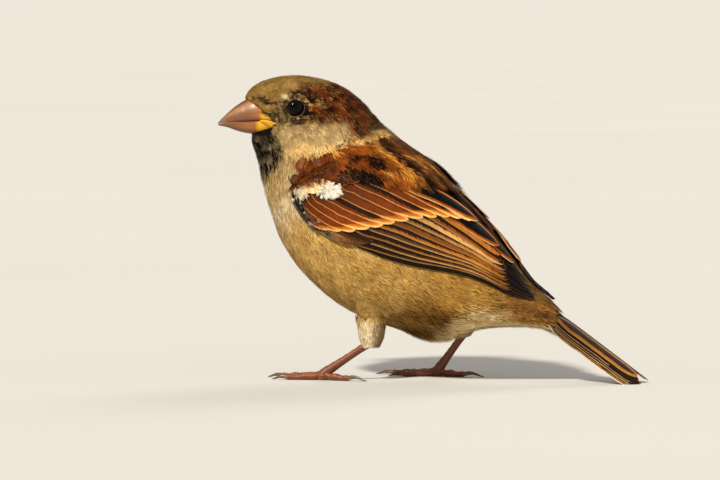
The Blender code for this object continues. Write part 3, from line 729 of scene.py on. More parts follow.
def make_wing(wing, look, soft):
    """Flight feathers first, then the rows of coverts that overlap them."""
    word, top = wing.word, wing_surface(wing)

    def group(kind, slot, roots, tips, half_width, heights, tints, pattern, shape, power=1.0):
        vanes(f"{word}_{kind}", top, straight(roots, tips, power), half_width, heights, tints, pattern,
              look, shape)

    # Primaries: the innermost is shortest and lies on top.
    n = 7
    tips = fan(n, [12.85, 13.30, 13.62, 13.84, 13.93, 13.93, 13.86],
               [0.06, 0.10, 0.20, 0.34, 0.48, 0.64, 0.80])
    group("primaries", "flight_feathers", fan(n, [9.3, 9.6], [0.80, 0.955]), tips + (wing.reach, 0.0), 2.1,
          (np.linspace(0.10, -0.25, n), np.linspace(0.25, -0.10, n)),
          (PRIMARY, PRIMARY, PRIMARY_EDGE, PRIMARY_EDGE), (0.22, 0.10, ONE_COLOUR),
          Shape(0.2, 0.78, 0.0, 0.12, 0.18, 0.5), power=np.linspace(1.4, 3.2, n)[:, None])
    # Secondaries, and below them the narrow edges of the primaries' bases.
    n = 10
    tips = fan(n, [12.05, 12.35, 12.6, 12.85, 13.15], [0.34, 0.50, 0.62, 0.72, 0.84])
    tints = np.array([GOLD_BROWN, WING_RUFOUS, WING_PALE, WING_PINK, WING_RUFOUS, GOLD_BROWN, WING_BROWN,
                      WING_RUFOUS, WING_BROWN, WING_BROWN])
    rim = mix(WING_EDGE, tints, np.array([0.7, 0.5, 0.2, 0.3, 0.6, 0.4, 0.1, 0.5, 0.0, 0.5]))
    rim_width = np.array([0.12, 0.2, 0.3, 0.14, 0.18, 0.14, 0.2, 0.12, 0.2, 0.14])
    outer_start = np.array([0.20, 0.50, 0.42, 0.55, 0.25, 0.50, 0.40, 0.62, 0.50, 0.60])
    uneven = np.stack([RANDOM.normal(0, 0.05, n), RANDOM.normal(0, 0.012, n)], -1)
    group("secondaries", "flight_feathers", fan(n, [9.2, 9.2, 8.9], [0.28, 0.62, 0.95]), tips + uneven,
          np.linspace(2.7, 1.6, n), (np.linspace(0.60, 0.15, n), np.linspace(0.70, 0.25, n)),
          (WING_DARK, tints, mix(tints, rim, 0.4), rim), (0.50, rim_width, outer_start),
          Shape(0.2, 0.80, 0.1, 0.15, 0.30, 1.0, 0.0), power=1.3)
    group("tertials", "flight_feathers", [(10.2, 0.32), (9.7, 0.30), (9.0, 0.24)],
          [(12.36, 0.17), (11.74, 0.22), (10.92, 0.15)], (2.8, 3.1, 2.6),
          ((0.70, 0.85, 1.00), (0.70, 0.90, 1.15)),
          (BLACK, BLACK, TERTIAL_EDGE, TERTIAL_RIM), (1.55, 0.36, ONE_COLOUR),
          Shape(0.25, 0.64, 0.0, 0.30, 0.20, 0.65, 0.9))
    n = 7
    group("primary_coverts", "wing_coverts", fan(n, [8.0, 8.5], [0.86, 0.97]),
          fan(n, [10.2, 10.0], [0.90, 0.975]), 1.2, (0.2, np.linspace(0.50, 0.35, n)),
          (WING_DARK, 0.6 * WING_BROWN, WING_BROWN, mix(WING_PINK, WING_EDGE, 0.3)), (0.30, 0.16, 0.25),
          Shape(0.2, 0.80, 0.0, 0.15, 0.25, 1.0, 0.05))
    group("alula", "wing_coverts", [(7.35, 0.93), (7.4, 0.96), (7.5, 0.985)],
          [(8.6, 0.94), (8.95, 0.96), (9.35, 0.98)], (1.2, 1.1, 1.0), ((0.7, 0.5, 0.3), (0.90, 0.75, 0.6)),
          (BLACK, BLACK, GREY_BROWN, GREY_BROWN), (0.30, 0.10, ONE_COLOUR),
          Shape(0.2, 0.8, 0.0, 0.15, 0.2, 0.6, 0.2))
    n = 12
    tips = fan(n, [10.85, 10.55, 10.30, 10.08, 9.93, 9.72, 9.40], [0.22, 0.33, 0.46, 0.60, 0.72, 0.84, 0.92])
    reach = fan(n, [2.3, 2.2, 2.15, 2.1, 2.0, 1.8, 1.6], [0.05, 0.04, 0.03, 0.0, -0.01, -0.02, -0.01])
    warm = mix(COVERT, RUFOUS, np.linspace(0.45, 0, n))
    streaked = np.isin(np.arange(n), (1, 3, 6))
    group("greater_coverts", "wing_coverts", tips - reach, tips, 2.1, (0.30, np.linspace(1.00, 0.75, n)),
          (mix(COVERT, BLACK, 0.9 * streaked), warm, COVERT_EDGE, COVERT_TIP),
          (2.0, 0.80, np.where(streaked, 0.42, -0.1)), Shape(0.2, 0.70, 0.1, 0.2, 0.28, 0.15))
    # The median coverts turn pale towards the wing's bend, where they make the white bar.
    n = 9
    tips = fan(n, [9.35, 9.15, 8.98, 8.76, 8.40, 8.0], [0.22, 0.36, 0.48, 0.64, 0.79, 0.90])
    along = np.linspace(0, 1, n)
    share = rise(along, 0.46, 0.50) * (1 - 0.7 * rise(along, 0.93, 1.0))
    pale = mix(COVERT, WHITE_BUFF, share)
    inner, outer, edge = (mix(c, pale, share) for c in (RUFOUS_DARK * 0.5, RUFOUS_DARK, RUFOUS))
    group("median_coverts", "wing_coverts", tips - (1.2, 0.0), tips - (0.45, 0.0), 1.9, (0.55, 1.05),
          (inner, outer, edge, edge), (0.5, 0.2, 0.3), Shape(0.3, 0.45, 0.0, 0.2, 0.1))
    make_shoulder(wing, soft)


BACK_STEP = 4.7  # mm from one station to the next along the back
WING_DEPTH = 14  # mm from the folded wing's top edge to its low edge

# Soft feathers of the folded wing's front, as ellipses of station and share down: middle, half sizes.
WHITE_BAR = [((8.36, 0.61), (0.28, 0.09)), ((7.80, 0.82), (0.24, 0.07))]
WRIST = ((7.15, 0.90), (0.22, 0.10))
LESSER_LOW = ([0.0, 0.42, 0.50, 0.59, 0.70, 0.87, 1.0], [8.75, 8.70, 8.30, 8.10, 7.95, 7.66, 7.50])
ALULA_PLACE = ((8.55, 0.965), (1.0, 0.055))


def make_shoulder(wing, look):
    """The lesser coverts, the white bar behind them, and the small feathers along the wing's low edge."""
    top = wing_surface(wing)

    def rows(name, stations, downs, length, proud, paint_of, heading, spread, strips, shade):
        """Tufts in rows of stations and shares down, each given by its start, end and step."""
        station, down = lattice(np.arange(*stations), np.arange(*downs))
        station = station.reshape(-1) + RANDOM.uniform(-0.5, 0.5, station.size) * stations[-1]
        down = down.reshape(-1) + RANDOM.uniform(-0.5, 0.5, down.size) * downs[-1]
        colour, keep = paint_of(station, down)
        station, down, colour = station[keep], down[keep], colour[keep]
        n = len(station)
        depth = 0.5 - 0.85 * rise(station, 7.1, 7.7)
        tufts(f"{wing.word}_{name}", station, down, heading + RANDOM.normal(0, 0.16, n),
              length * RANDOM.uniform(0.8, 1.2, n), length * spread, 0.20, strips, depth, proud, colour,
              shade, look, surface=top, unwrapped=unwrap(station, wing_angle(station, down, wing)))

    def within(station, down, oval):
        (at, low), (long, wide) = oval
        return np.hypot((station - at) / long, (down - low) / wide)

    def lesser(station, down):
        chance = RANDOM.uniform(0, 1, station.shape)
        broad = patches(flat_place(BACK_STEP * station, WING_DEPTH * down), 1.6, 31 + wing.side)
        fine = patches(flat_place(2.0 * station, 20 * down), 0.8, 34 + wing.side)
        base = mix(RUFOUS_DARK, mix(SHOULDER, RUFOUS, 0.6 * chance), 0.45 + 0.55 * broad)
        tip = mix(base, BUFF_FRINGE, 0.15 * (chance > 0.7))
        middle = np.interp(station, [7.0, 7.7, 8.5], [0.62, 0.36, 0.36])
        barred = fall(np.abs(down - middle), 0.08, 0.17) * rise(station, 7.05, 7.3)
        dark = mix(GREY_BROWN * 0.5, RUFOUS_DARK * 0.5, chance)
        pale = mix(dark, BUFF_FRINGE, 0.75)
        ground = 0.55 * barred * (0.35 + 0.65 * (broad < 0.6))
        base, tip = mix(base, dark, ground), mix(tip, pale, ground * (fine > 0.45))
        wrist = fall(within(station, down, WRIST), 0.8, 1.2)
        base, tip = mix(base, BLACK, wrist), mix(tip, BLACK, wrist)
        front = 6.95 + 0.5 * (down - 0.62) ** 2
        return pair(base, tip), (station < np.interp(down, *LESSER_LOW) - 0.30) & (station > front)

    def bar(station, down):
        reach = np.min([within(station, down, oval) for oval in WHITE_BAR], 0)
        front = fall(station, 7.9, 8.25)
        light = mix(WHITE, CREAM, 0.60 * front + 0.1 * RANDOM.uniform(0, 1, station.shape))
        return pair(light, light), reach < 1 + RANDOM.normal(0, 0.07, station.shape)

    def mottled(station, down):
        field = patches(flat_place(BACK_STEP * station, WING_DEPTH * down), 0.9, 38)
        light = mix(mix(BLACK, GREY_BROWN, field), WHITE, (field > 0.70) * 0.8 * fall(station, 8.8, 9.1))
        return pair(light, mix(light, WHITE, 0.25)), within(station, down, ALULA_PLACE) < 1

    rows("alula_coverts", (7.5, 9.5, 0.11), (0.905, 1.0, 0.025), 1.9, 0.75, mottled, 0.0, 0.25, 8, 0.5)
    rows("white_bar", (7.3, 8.8, 0.075), (0.38, 0.94, 0.022), 1.9, 1.25, bar, 0.12, 0.42, 10, 0.9)
    rows("lesser_coverts", (6.95, 8.75, 0.11), (0.02, 0.97, 0.036), 2.4, 1.30, lesser, 0.30, 0.30, 8, 0.75)


# Tips of the back's feathers: their lowest place on the side and their first station behind the collar.
BACK_LOW = ([6.9, 7.2, 7.5, 7.8, 8.2, 8.6, 9.0, 9.4, 9.8, 10.05, 10.3, 10.6, 11.0],
            [108, 106, 98, 84, 76, 73, 69, 63, 54, 45, 24, 10, 4])
BACK_FIRST = ([0, 20, 42, 62, 74, 90, 108], [7.75, 7.7, 7.5, 7.25, 7.08, 6.92, 6.88])
BLACK_MARKS = [  # station, degrees, half length in stations, half width in degrees
    (7.90, 62, 0.26, 4.0), (8.42, 54, 0.36, 4.0), (8.40, 70, 0.26, 3.5), (8.85, 65, 0.34, 4.0),
    (9.20, 61.5, 0.34, 3.5),
]
BACK_LENGTH, BACK_SPACING = 4.4, 0.72
BACK_LAG = 0.36  # a tuft shows its colours this many stations behind the place they belong to


def back_plumage(station, angle):
    """The middle and tip colours of mantle and scapulars: streaks drawn out along the body."""
    degrees = np.degrees(np.abs(angle))
    draw = [RANDOM.uniform(0, 1, np.shape(station)) for _ in range(3)]
    streaks = drawn_out(station, angle, 1.5, 16)
    dark, light = patches(streaks, 1.35, 21), patches(streaks, 1.5, 22)
    mantle = mix(OLIVE_BACK, RUFOUS, draw[0])
    mantle = mix(mantle, mix(GOLD, BUFF_FRINGE, 0.4), 0.75 * rise(light, 0.70, 0.85) * rise(degrees, 4, 16))
    mantle = mix(mantle, mix(BLACK, RUFOUS_DARK, 0.35 * draw[1]), 0.90 * rise(dark, 0.48, 0.60))
    side = mix(SHOULDER, GOLD, 0.5 * light * draw[0])
    side = mix(side, mix(GOLD_PALE, BUFF_FRINGE, 0.5), 0.7 * rise(light, 0.74, 0.88))
    side = mix(side, RUFOUS_DARK, 0.7 * rise(dark, 0.66, 0.80))
    colour = mix(mantle, side, rise(degrees, 42, 50))
    shoulder = mix(RUFOUS_DARK, mix(SHOULDER, RUFOUS, draw[0]), 0.3 + 0.7 * rise(light, 0.3, 0.6))
    grizzled = mix(GREY_BROWN * 0.5, BUFF_FRINGE, 0.4 * (draw[2] > 0.8))
    shoulder = mix(shoulder, grizzled, 0.5 * rise(dark, 0.5, 0.7))
    colour = mix(colour, shoulder, rise(degrees, 74, 82))
    long_way = rise(station, 7.5, 7.9) * fall(station, 10.2, 10.6)
    band = fall(np.abs(degrees - 34), 2.5, 4.5) * long_way
    colour = mix(colour, mix(BLACK, OLIVE_BACK, 0.8 * rise(light, 0.5, 0.7)), 0.9 * band)
    wide = 3.2 + 1.0 * rise(station, 8.2, 9.2)
    gold = fall(np.abs(degrees - 43) / wide, 0.75, 1.25) * long_way
    stripe = mix(mix(GOLD, GOLD_PALE, 0.8 * draw[2]), RUFOUS_DARK, 0.85 * rise(dark, 0.52, 0.68))
    colour = mix(colour, stripe, gold)
    for at, around, half_length, half_width in BLACK_MARKS:
        reach = np.hypot((station - at) / half_length, (degrees - around) / half_width)
        colour = mix(colour, BLACK, 1 - rise(reach + 0.35 * (dark - 0.5), 1.0, 1.25))
    tip = mix(colour, mix(GOLD, BUFF_FRINGE, 0.5), 0.22 * (draw[1] > 0.75))
    return pair(colour, tip)


def make_back(look):
    """Mantle and scapulars: black-streaked, with a golden stripe on each side."""
    def behind(station):
        """Where the tip of a tuft lies."""
        return station + 0.75 * BACK_LENGTH / BACK_STEP

    def keep(station, angle):
        degrees = np.degrees(np.abs(angle))
        seen = behind(station)
        behind_collar = seen > np.interp(degrees, *BACK_FIRST)
        return (degrees < np.interp(seen, *BACK_LOW)) & behind_collar & (seen < 11.7)

    station, angle = spread_roots(lambda s: np.full(s.shape, BACK_SPACING), keep, (6.0, 11.2), seed=9)
    seen = behind(station)
    over_wing = rise(wing_share(seen, angle), -0.20, 0.05)
    n = len(station)
    length = BACK_LENGTH * (1 - 0.35 * rise(np.degrees(np.abs(angle)), 70, 88)) * RANDOM.uniform(0.8, 1.2, n)
    depth = coat_depth(station) * 0.8 * (1 - over_wing) - 0.75 * over_wing
    tufts("back_feathers", station, angle, RANDOM.normal(0, 0.13, n), length, length * 0.19,
          0.25, 8, depth, 0.25 + 1.10 * over_wing, back_plumage(seen - BACK_LAG, angle),
          0.30 + 0.35 * over_wing, look, surface=padded_back)


def make_tail(look):
    """Twelve tail feathers, the middle pair on top."""
    # From the outermost pair to the middle one: mm from the tail's middle, length short of the longest,
    # width of the fringe and its colour.
    pairs = [(5.1, 1.2, 0.34, WHITE_BUFF), (4.5, 0.2, 0.02, TAIL_EDGE), (3.9, 0.0, 0.24, BUFF_FRINGE),
             (3.2, 0.6, 0.02, TAIL_EDGE), (2.4, 1.5, 0.22, TAIL_EDGE), (1.25, 2.6, 1.20, TAIL_EDGE)]
    place, short, fringe, tint = (np.repeat(np.array(column), 2, 0) for column in zip(*pairs))
    place *= np.tile([1, -1], len(pairs))
    fringe[-2] = 0.35  # the far one of the middle pair lies under the near one
    rank = np.abs(place) / 5.1
    roots = np.stack([np.full(len(place), -5.0), place * 0.85], -1)
    tips = np.stack([TAIL_LENGTH - short, place], -1)
    high = 0.1 - 0.85 * rank - 0.10 * (place > 0)
    vanes("tail_feathers", tail, straight(roots, tips), 2.3, (high + 2.3, high),
          (TAIL_DARK, TAIL_DARK, tint, mix(tint, WHITE_BUFF, 0.4)), (fringe, 0.16, ONE_COLOUR), look,
          Shape(0.15, 0.80, 0.0, 0.12, 0.0, 1.0))


# ---------------------------------------------------------------- markings
# Where the feathers of the face stop, mm back from the bill's tip and above it.
FACE_EDGE = np.array([
    (-3.0, 9.5), (6.2, 9.5), (8.0, 7.4), (11.7, 5.2), (13.4, 3.9), (15.5, 1.9),
    (16.3, 0.6), (16.2, -0.6), (15.5, -3.2), (9.4, -3.5), (-3.0, -3.5),
])


def inside(outline, x, y):
    """Whether points lie inside a polygon."""
    found = np.zeros(np.shape(x), bool)
    for (ax, ay), (bx, by) in zip(outline, np.roll(outline, -1, 0)):
        crosses = (ay > y) != (by > y)
        with np.errstate(divide="ignore", invalid="ignore"):
            found ^= crosses & (x < (bx - ax) * (y - ay) / (by - ay) + ax)
    return found


def beside_bill(station, angle):
    """Places ahead of the face feathers' edge, which the bill fills."""
    flat = flat_point(station, angle)
    return inside(FACE_EDGE, flat[..., 0] - BILL_TIP[0], flat[..., 2] - BILL_TIP[2]) & (station < 6)


def from_eye(station, angle):
    """Millimetres behind and above the eye, before the head's turn."""
    flat = flat_point(station, angle)
    return flat[..., 0] - EYE[0], flat[..., 2] - EYE[2]


def over(line, back, up):
    """How far a place lies above a line of (back, up) points."""
    return up - np.interp(back, *np.array(line).T)


def below(line, back, up, blur=0.5):
    """1 under a line of (back, up) points, 0 over it."""
    return fall(over(line, back, up), -blur, blur)


def ahead_of(line, back, up, blur=0.5):
    """1 in front of a line of (up, back) points, 0 behind it."""
    return below(line, up, back, blur)


def spot(back, up, at, size, blur=0.3):
    """1 inside an oval, 0 outside it."""
    reach = np.hypot((back - at[0]) / size[0], (up - at[1]) / size[1])
    return fall(reach, 1 - blur, 1 + blur)


# Edges of the head's markings, as mm behind and above the eye; the two REAR lines are above and behind.
CROWN_LINE = [(-17, 2.2), (-14.9, 1.3), (-13.4, 0.5), (-11.6, -0.6), (-9.8, -1.2), (-8, -1.3), (-6, -0.1),
              (-4, 2.0), (-2, 4.2), (0, 5.3), (3, 6.5), (8, 7.4), (12, 7.9), (14, 9.5), (15.5, 12)]
CHEEK_TOP = [(-8, -6.2), (-5, -5.4), (0, -5.0), (3.4, -4.3), (7, -3.6), (12, -3.8), (16.6, -4.3)]
CHEEK_REAR = [(-11.5, 12.6), (-10.4, 14.0), (-8, 16.2), (-6, 17.3), (-4, 16.9)]
COLLAR_LINE = [(-8, -8.5), (0, -10.8), (7, -11.2), (13.8, -10.6), (20, -8.2), (24.4, -6.1), (30, -4.5)]
BIB_REAR = [(-24, -10.0), (-22, -8.6), (-20.2, -7.3), (-17.7, -5.2), (-14.8, -3.9), (-11.2, -5.2),
            (-8.3, -6.7), (-7.0, -8.0)]

# Small marks round the eye: mm behind and above it, half sizes, colour.
SPOTS = [
    ((-3.4, 3.2), (1.35, 0.65), CREAM), ((3.4, 2.0), (0.55, 0.42), CREAM),
    ((4.9, -0.6), (0.6, 0.32), CREAM), ((5.2, 1.0), (1.7, 0.45), BUFF_FRINGE),
    ((-10.6, 2.6), (2.6, 0.55), BLACK), ((-8.0, 1.3), (2.4, 0.5), BLACK),
    ((-0.3, 4.6), (2.6, 0.5), CHESTNUT_DARK), ((4.2, -1.6), (1.6, 0.9), BLACK),
    ((8.5, -2.6), (2.4, 0.55), BLACK), ((10.5, 0.4), (1.2, 0.6), BLACK), ((0.5, -4.2), (3.0, 0.5), LORES),
]


WAVES = 9  # summed into each random field


def patches(place, size, seed):
    """A smooth random field from 0 to 1 over points, with patches about size mm across."""
    rng = np.random.default_rng(seed)
    waves = rng.normal(0, 1, (WAVES, 3))
    length = np.linalg.norm(waves, axis=1, keepdims=True)
    waves *= (2 * math.pi / size) * rng.uniform(0.35, 0.75, (WAVES, 1)) / length
    field = np.sin(place @ waves.T + rng.uniform(0, 2 * math.pi, WAVES)).sum(-1)
    return np.clip(0.5 + field / 6.0, 0, 1)


def drawn_out(station, angle, along, round_body):
    """Places whose patches are drawn out along the body."""
    return np.stack([along * station, round_body * np.cos(angle), round_body * np.sin(angle)], -1)


def flat_place(x, y):
    return np.stack([x, y, 0 * y], -1)


def pair(middle, tip):
    """The colours of a tuft's middle and its tip side by side."""
    middle, tip = np.broadcast_arrays(np.asarray(middle, float), np.asarray(tip, float))
    return np.concatenate([middle, tip], -1)


def coated(colour, middle, towards, amount, where):
    """Tuft colours covered, where a share says, by a new middle whose tip goes part way to another."""
    return mix(colour, pair(middle, mix(middle, towards, amount)), where)


# What a soft feather's colour depends on: where it lies, how far behind and above the eye, four numbers
# of chance, the fine streaks there, and its lot, which blends chance with fine and broad patches.
Feather = namedtuple("Feather", "station around place back up chance fine lot")


def under_parts(at):
    """Breast, belly, flank, vent and the lower side of the tail's root."""
    station, around, chance, fine, lot = at.station, at.around, at.chance, at.fine, at.lot
    colour = pair(mix(BREAST, BREAST_PALE, lot), mix(BREAST, CREAM, lot))
    belly = mix(BELLY, BELLY_PALE, lot**2)
    belly = mix(belly, BELLY_DARK, 0.7 * (chance[1] > 0.74))
    colour = coated(colour, belly, BELLY_PALE, 0.6 * lot, rise(station, 7.6, 9.2))
    side = fall(around, 95, 130)
    flank = mix(mix(FLANK, FLANK_DARK, 0.6 * chance[1]), BELLY, lot**2)
    colour = coated(colour, flank, BELLY, 0.5, rise(station, 10.2, 12.4) * (0.3 + 0.7 * side))
    # The vent's dark brown is partly its own dark streaks and partly painted shade of the underside.
    vent = rise(station, 11.8, 12.3) * fall(station, 13.15, 13.5) * rise(around, 88, 106)
    dark = mix(VENT_DARK, FLANK_DARK, chance[1])
    colour = coated(colour, dark, FLANK, 0.45, vent * (0.55 + 0.45 * (fine > 0.40)))
    under = rise(station, 12.9, 13.3) * rise(around, 76, 90)
    pale = mix(UNDERTAIL, CREAM, lot)
    return coated(colour, pale, CREAM, 0.7, under * (0.45 + 0.55 * (fine > 0.35)))


def upper_parts(colour, at, streak):
    """The rump's side behind the flank, back and rump, and the coverts over the tail's root."""
    station, around, lot = at.station, at.around, at.lot
    shade = mix(FLANK_DARK, RUMP, lot)
    behind = rise(station, 13.2, 13.5) * fall(around, 74, 88)
    colour = coated(colour, shade, FLANK, 0.5, behind)
    rump = mix(RUMP, OLIVE_BACK, lot)
    colour = coated(colour, rump, BUFF_FRINGE, 0.3, fall(around, 40, 66) * rise(station, 6.8, 7.4))
    warm = mix(mix(RUMP, TAIL_COVERT, rise(around, 20, 45)), BUFF_FRINGE, 0.5 * lot**2)
    streaked = rise(streak, 0.46, 0.58) * (1 - 0.5 * rise(around, 84, 100))
    warm = mix(warm, mix(TAIL_DARK, RUMP, 0.35), 0.85 * streaked)
    over_tail = rise(station, 13.7, 14.3) * fall(around, 98, 112)
    return coated(colour, warm, BUFF_FRINGE, 0.2, over_tail)


def head_and_neck(colour, at):
    """Throat, lores, nape, crown, cheek, collar and bib, each laid over the one before."""
    station, around, place, back, up, chance, fine, lot = at
    head = fall(station, 6.6, 7.8)
    throat = mix(mix(CREAM, BREAST, 0.45 * (1 - lot)), THROAT_WHITE, 0.6 * chance[1])
    throat = mix(throat, CHEEK_DARK, 0.65 * fall(patches(place, 5.0, 15), 0.30, 0.50))
    bright = 0.9 * spot(back, up, (3.0, -17.0), (6.5, 6.0), 0.5) * (fine > 0.3)
    throat = mix(throat, THROAT_WHITE, bright)
    colour = coated(colour, throat, WHITE, 0.4, fall(station, 7.0, 8.6) * rise(around, 60, 84))

    lores = mix(mix(LORES, LORES_PALE, 0.9 * (chance[2] > 0.70)), BLACK, 0.6 * (chance[1] > 0.6))
    before_eye = head * (1 - below(CHEEK_TOP, back, up)) * fall(back, 2.5, 4.5)
    colour = coated(colour, lores, LORES_PALE, 0.4, before_eye)

    nape = rise(back, 0.5, 3.5) * (1 - below(COLLAR_LINE, back, up, 0.8)) * head
    near_eye = 1 - 0.6 * rise(back, 9, 13)
    fleck = patches(place, 0.70, 18)
    mottle = mix(mix(CHESTNUT, CHESTNUT_BRIGHT, lot), CHESTNUT_DARK, 0.9 * (fine > 0.52))
    mottle = mix(mottle, BLACK, 0.6 * (chance[2] > 0.85))
    mottle = mix(mottle, BUFF_FRINGE, 0.60 * rise(fleck, 0.78, 0.90) * near_eye)
    mottle = mix(mottle, CHESTNUT_DARK, 0.85 * fall(fleck, 0.20, 0.34))
    colour = coated(colour, mottle, BUFF_FRINGE, 0.70 * (chance[3] > 0.66) * near_eye, nape)

    crown = (1 - below(CROWN_LINE, back, up, 0.8)) * fall(station, 5.6, 6.4) * head
    cap = mix(mix(CROWN, CROWN_PALE, lot), CROWN_DARK, 0.5 * fall(fleck, 0.15, 0.35))
    colour = coated(colour, cap, CROWN_PALE, 0.5, crown)

    cheek = below(CHEEK_TOP, back, up) * ahead_of(CHEEK_REAR, back, up) * head * rise(back, -9.5, -7.5)
    streaky = patches(flat_place(2.2 * back, 8 * up), 3.0, 23)
    grey = mix(mix(CHEEK, CHEEK_PALE, lot), CHEEK_DARK, 0.7 * (chance[1] > 0.66) * rise(up, -12, -5))
    grey = mix(grey, CHEEK_DARK, 0.35 * rise(streaky, 0.6, 0.8))
    colour = coated(colour, grey, CHEEK_PALE, 0.5, cheek)

    collar = fall(np.abs(over(COLLAR_LINE, back, up) + 1.7), 1.2, 2.4)
    collar = collar * rise(back, -4, 4) * fall(station, 7.6, 8.2)
    colour = coated(colour, mix(COLLAR, COLLAR_PALE, lot), COLLAR_PALE, 0.6, collar)

    bib = ahead_of(BIB_REAR, back, up, 0.7) * fall(up, -7.2, -6.4) * rise(up, -23.5, -20.5)
    fringed = rise(patches(place, 1.15, 20), 0.72, 0.82) * rise(-up, 8.0, 10.0)
    return mix(colour, pair(mix(BIB, BIB_FRINGE, 0.4 * fringed), mix(BIB, BIB_FRINGE, fringed)), bib)


def plumage(station, angle):
    """The middle and tip colours of the soft feathers, each with its own share of chance."""
    shape = np.shape(station)
    chance = [RANDOM.uniform(0, 1, shape) for _ in range(4)]
    place = body(station, angle)
    long_place = drawn_out(station, angle, 2.4, 13)
    broad, fine = patches(place, 7.0, 11), patches(long_place, 1.7, 12)
    lot = np.clip(0.45 * chance[0] + 0.35 * fine + 0.3 * broad, 0, 1)
    # The markings' edges wander a little, but the small spots round the eye keep their places.
    true_back, true_up = from_eye(station, angle)
    back = true_back + RANDOM.normal(0, 0.30, shape) + 1.2 * (patches(place, 3.0, 13) - 0.5)
    up = true_up + RANDOM.normal(0, 0.25, shape) + 0.9 * (patches(place, 3.0, 14) - 0.5)

    at = Feather(station, degrees_round(angle), place, back, up, chance, fine, lot)
    colour = upper_parts(under_parts(at), at, patches(drawn_out(station, angle, 1.1, 9), 1.1, 19))
    colour = head_and_neck(colour, at)
    mottling = 0.16 * (patches(place, 2.2, 16) - 0.5) + 0.34 * (patches(long_place, 0.9, 17) - 0.5)
    mottling = mottling * (1.5 - 0.5 * rise(station, 6.0, 7.0))
    colour = colour * (1 + mottling)[..., None]
    for middle, size, light in SPOTS:
        marked = 0.95 * spot(true_back, true_up, middle, size) * (station < 7)
        colour = mix(colour, pair(light, light), marked)
    return colour


# ---------------------------------------------------------------- legs, as in the solids
Leg = namedtuple("Leg", "word side hip shank tuft_end heel foot heading")
LEGS = [
    Leg("left", -1, (-16.8, -8.5, 25.0), (-15.9, -9.4, 16.0), (-16.0, -9.6, 8.4),
        (-14.8, -9.5, 12.2), (-30.0, -12.0, 1.9), -14),
    Leg("right", 1, (8.5, 8.5, 22.0), (8.0, 9.2, 17.0), (6.8, 9.4, 11.0),
        (8.9, 9.4, 14.6), (-0.6, 11.0, 1.9), -6),
]
SHANK_RADII = [6.0, 5.4, 4.7, 4.1, 2.9, 0.9]
SHANK_SHARES = [0, 0.3, 0.5, 0.72, 0.92, 1.0]
TARSUS_RADIUS = 1.1
TARSUS_SWELL = [1.3, 1.05, 0.95, 0.97, 1.05, 1.2, 1.4]
PAD_HEIGHTS = [0, 0.4, 1.3, 2.3, 3.2]
PAD_RADII = [1.15, 1.60, 1.80, 1.55, 0.90]
TOE_ROOT_HEIGHT, TOE_RADIUS = 1.65, 1.05
TOE_LENGTHS = {"hind": 8.5, "inner": 10.5, "middle": 14.5, "outer": 11.0}
TOE_SPREAD = {"hind": 180, "inner": 27, "middle": 2, "outer": -24}
CLAW_LENGTHS = {"hind": 6.0, "inner": 4.2, "middle": 4.8, "outer": 4.2}
CLAW_GAP = 0.3  # between a toe's end and its claw's solid
CLAW_OVERLAP = 0.6  # how much further back the horn starts, inside the toe


def shank_surface(leg):
    """The feathered shank by share of its length and angle round it."""
    rows = padded([leg.hip, leg.shank, leg.tuft_end])

    def middle(share):
        return spline(rows, 2 * np.asarray(share, float))

    def at(share, angle):
        share, angle = np.broadcast_arrays(np.asarray(share, float), np.asarray(angle, float))
        radius = np.interp(share, SHANK_SHARES, SHANK_RADII)[..., None]
        return middle(share) + radius * np.stack([np.cos(angle), np.sin(angle), 0 * angle], -1)

    at.middle = middle
    return at


# ---------------------------------------------------------------- the skin and its soft coat
SKIN_VOXEL = 0.45
SHANK_SKIN_DEPTH = 1.2
BREAST_END = 9.6  # where the piece of breast feathers meets that of the rest of the body
BODY_STEP = 5.2  # mm from one station to the next along the belly
EYE_BARE = 2.85  # no tuft roots this near to the eye's middle
THIGH_TUFTS = 620


def under_tail(station, around):
    """1 on the lower side of the tail's root, 0 elsewhere."""
    return rise(station, 12.8, 13.3) * rise(around, 110, 140) * fall(station, 15.0, 15.6)


def coat_depth(station):
    """How far the skin lies below the coat's surface."""
    return np.interp(station, [0, 2, 4, 6, 9, 14, 16], [0.25, 0.35, 0.55, 0.8, 1.0, 0.9, 0.7])


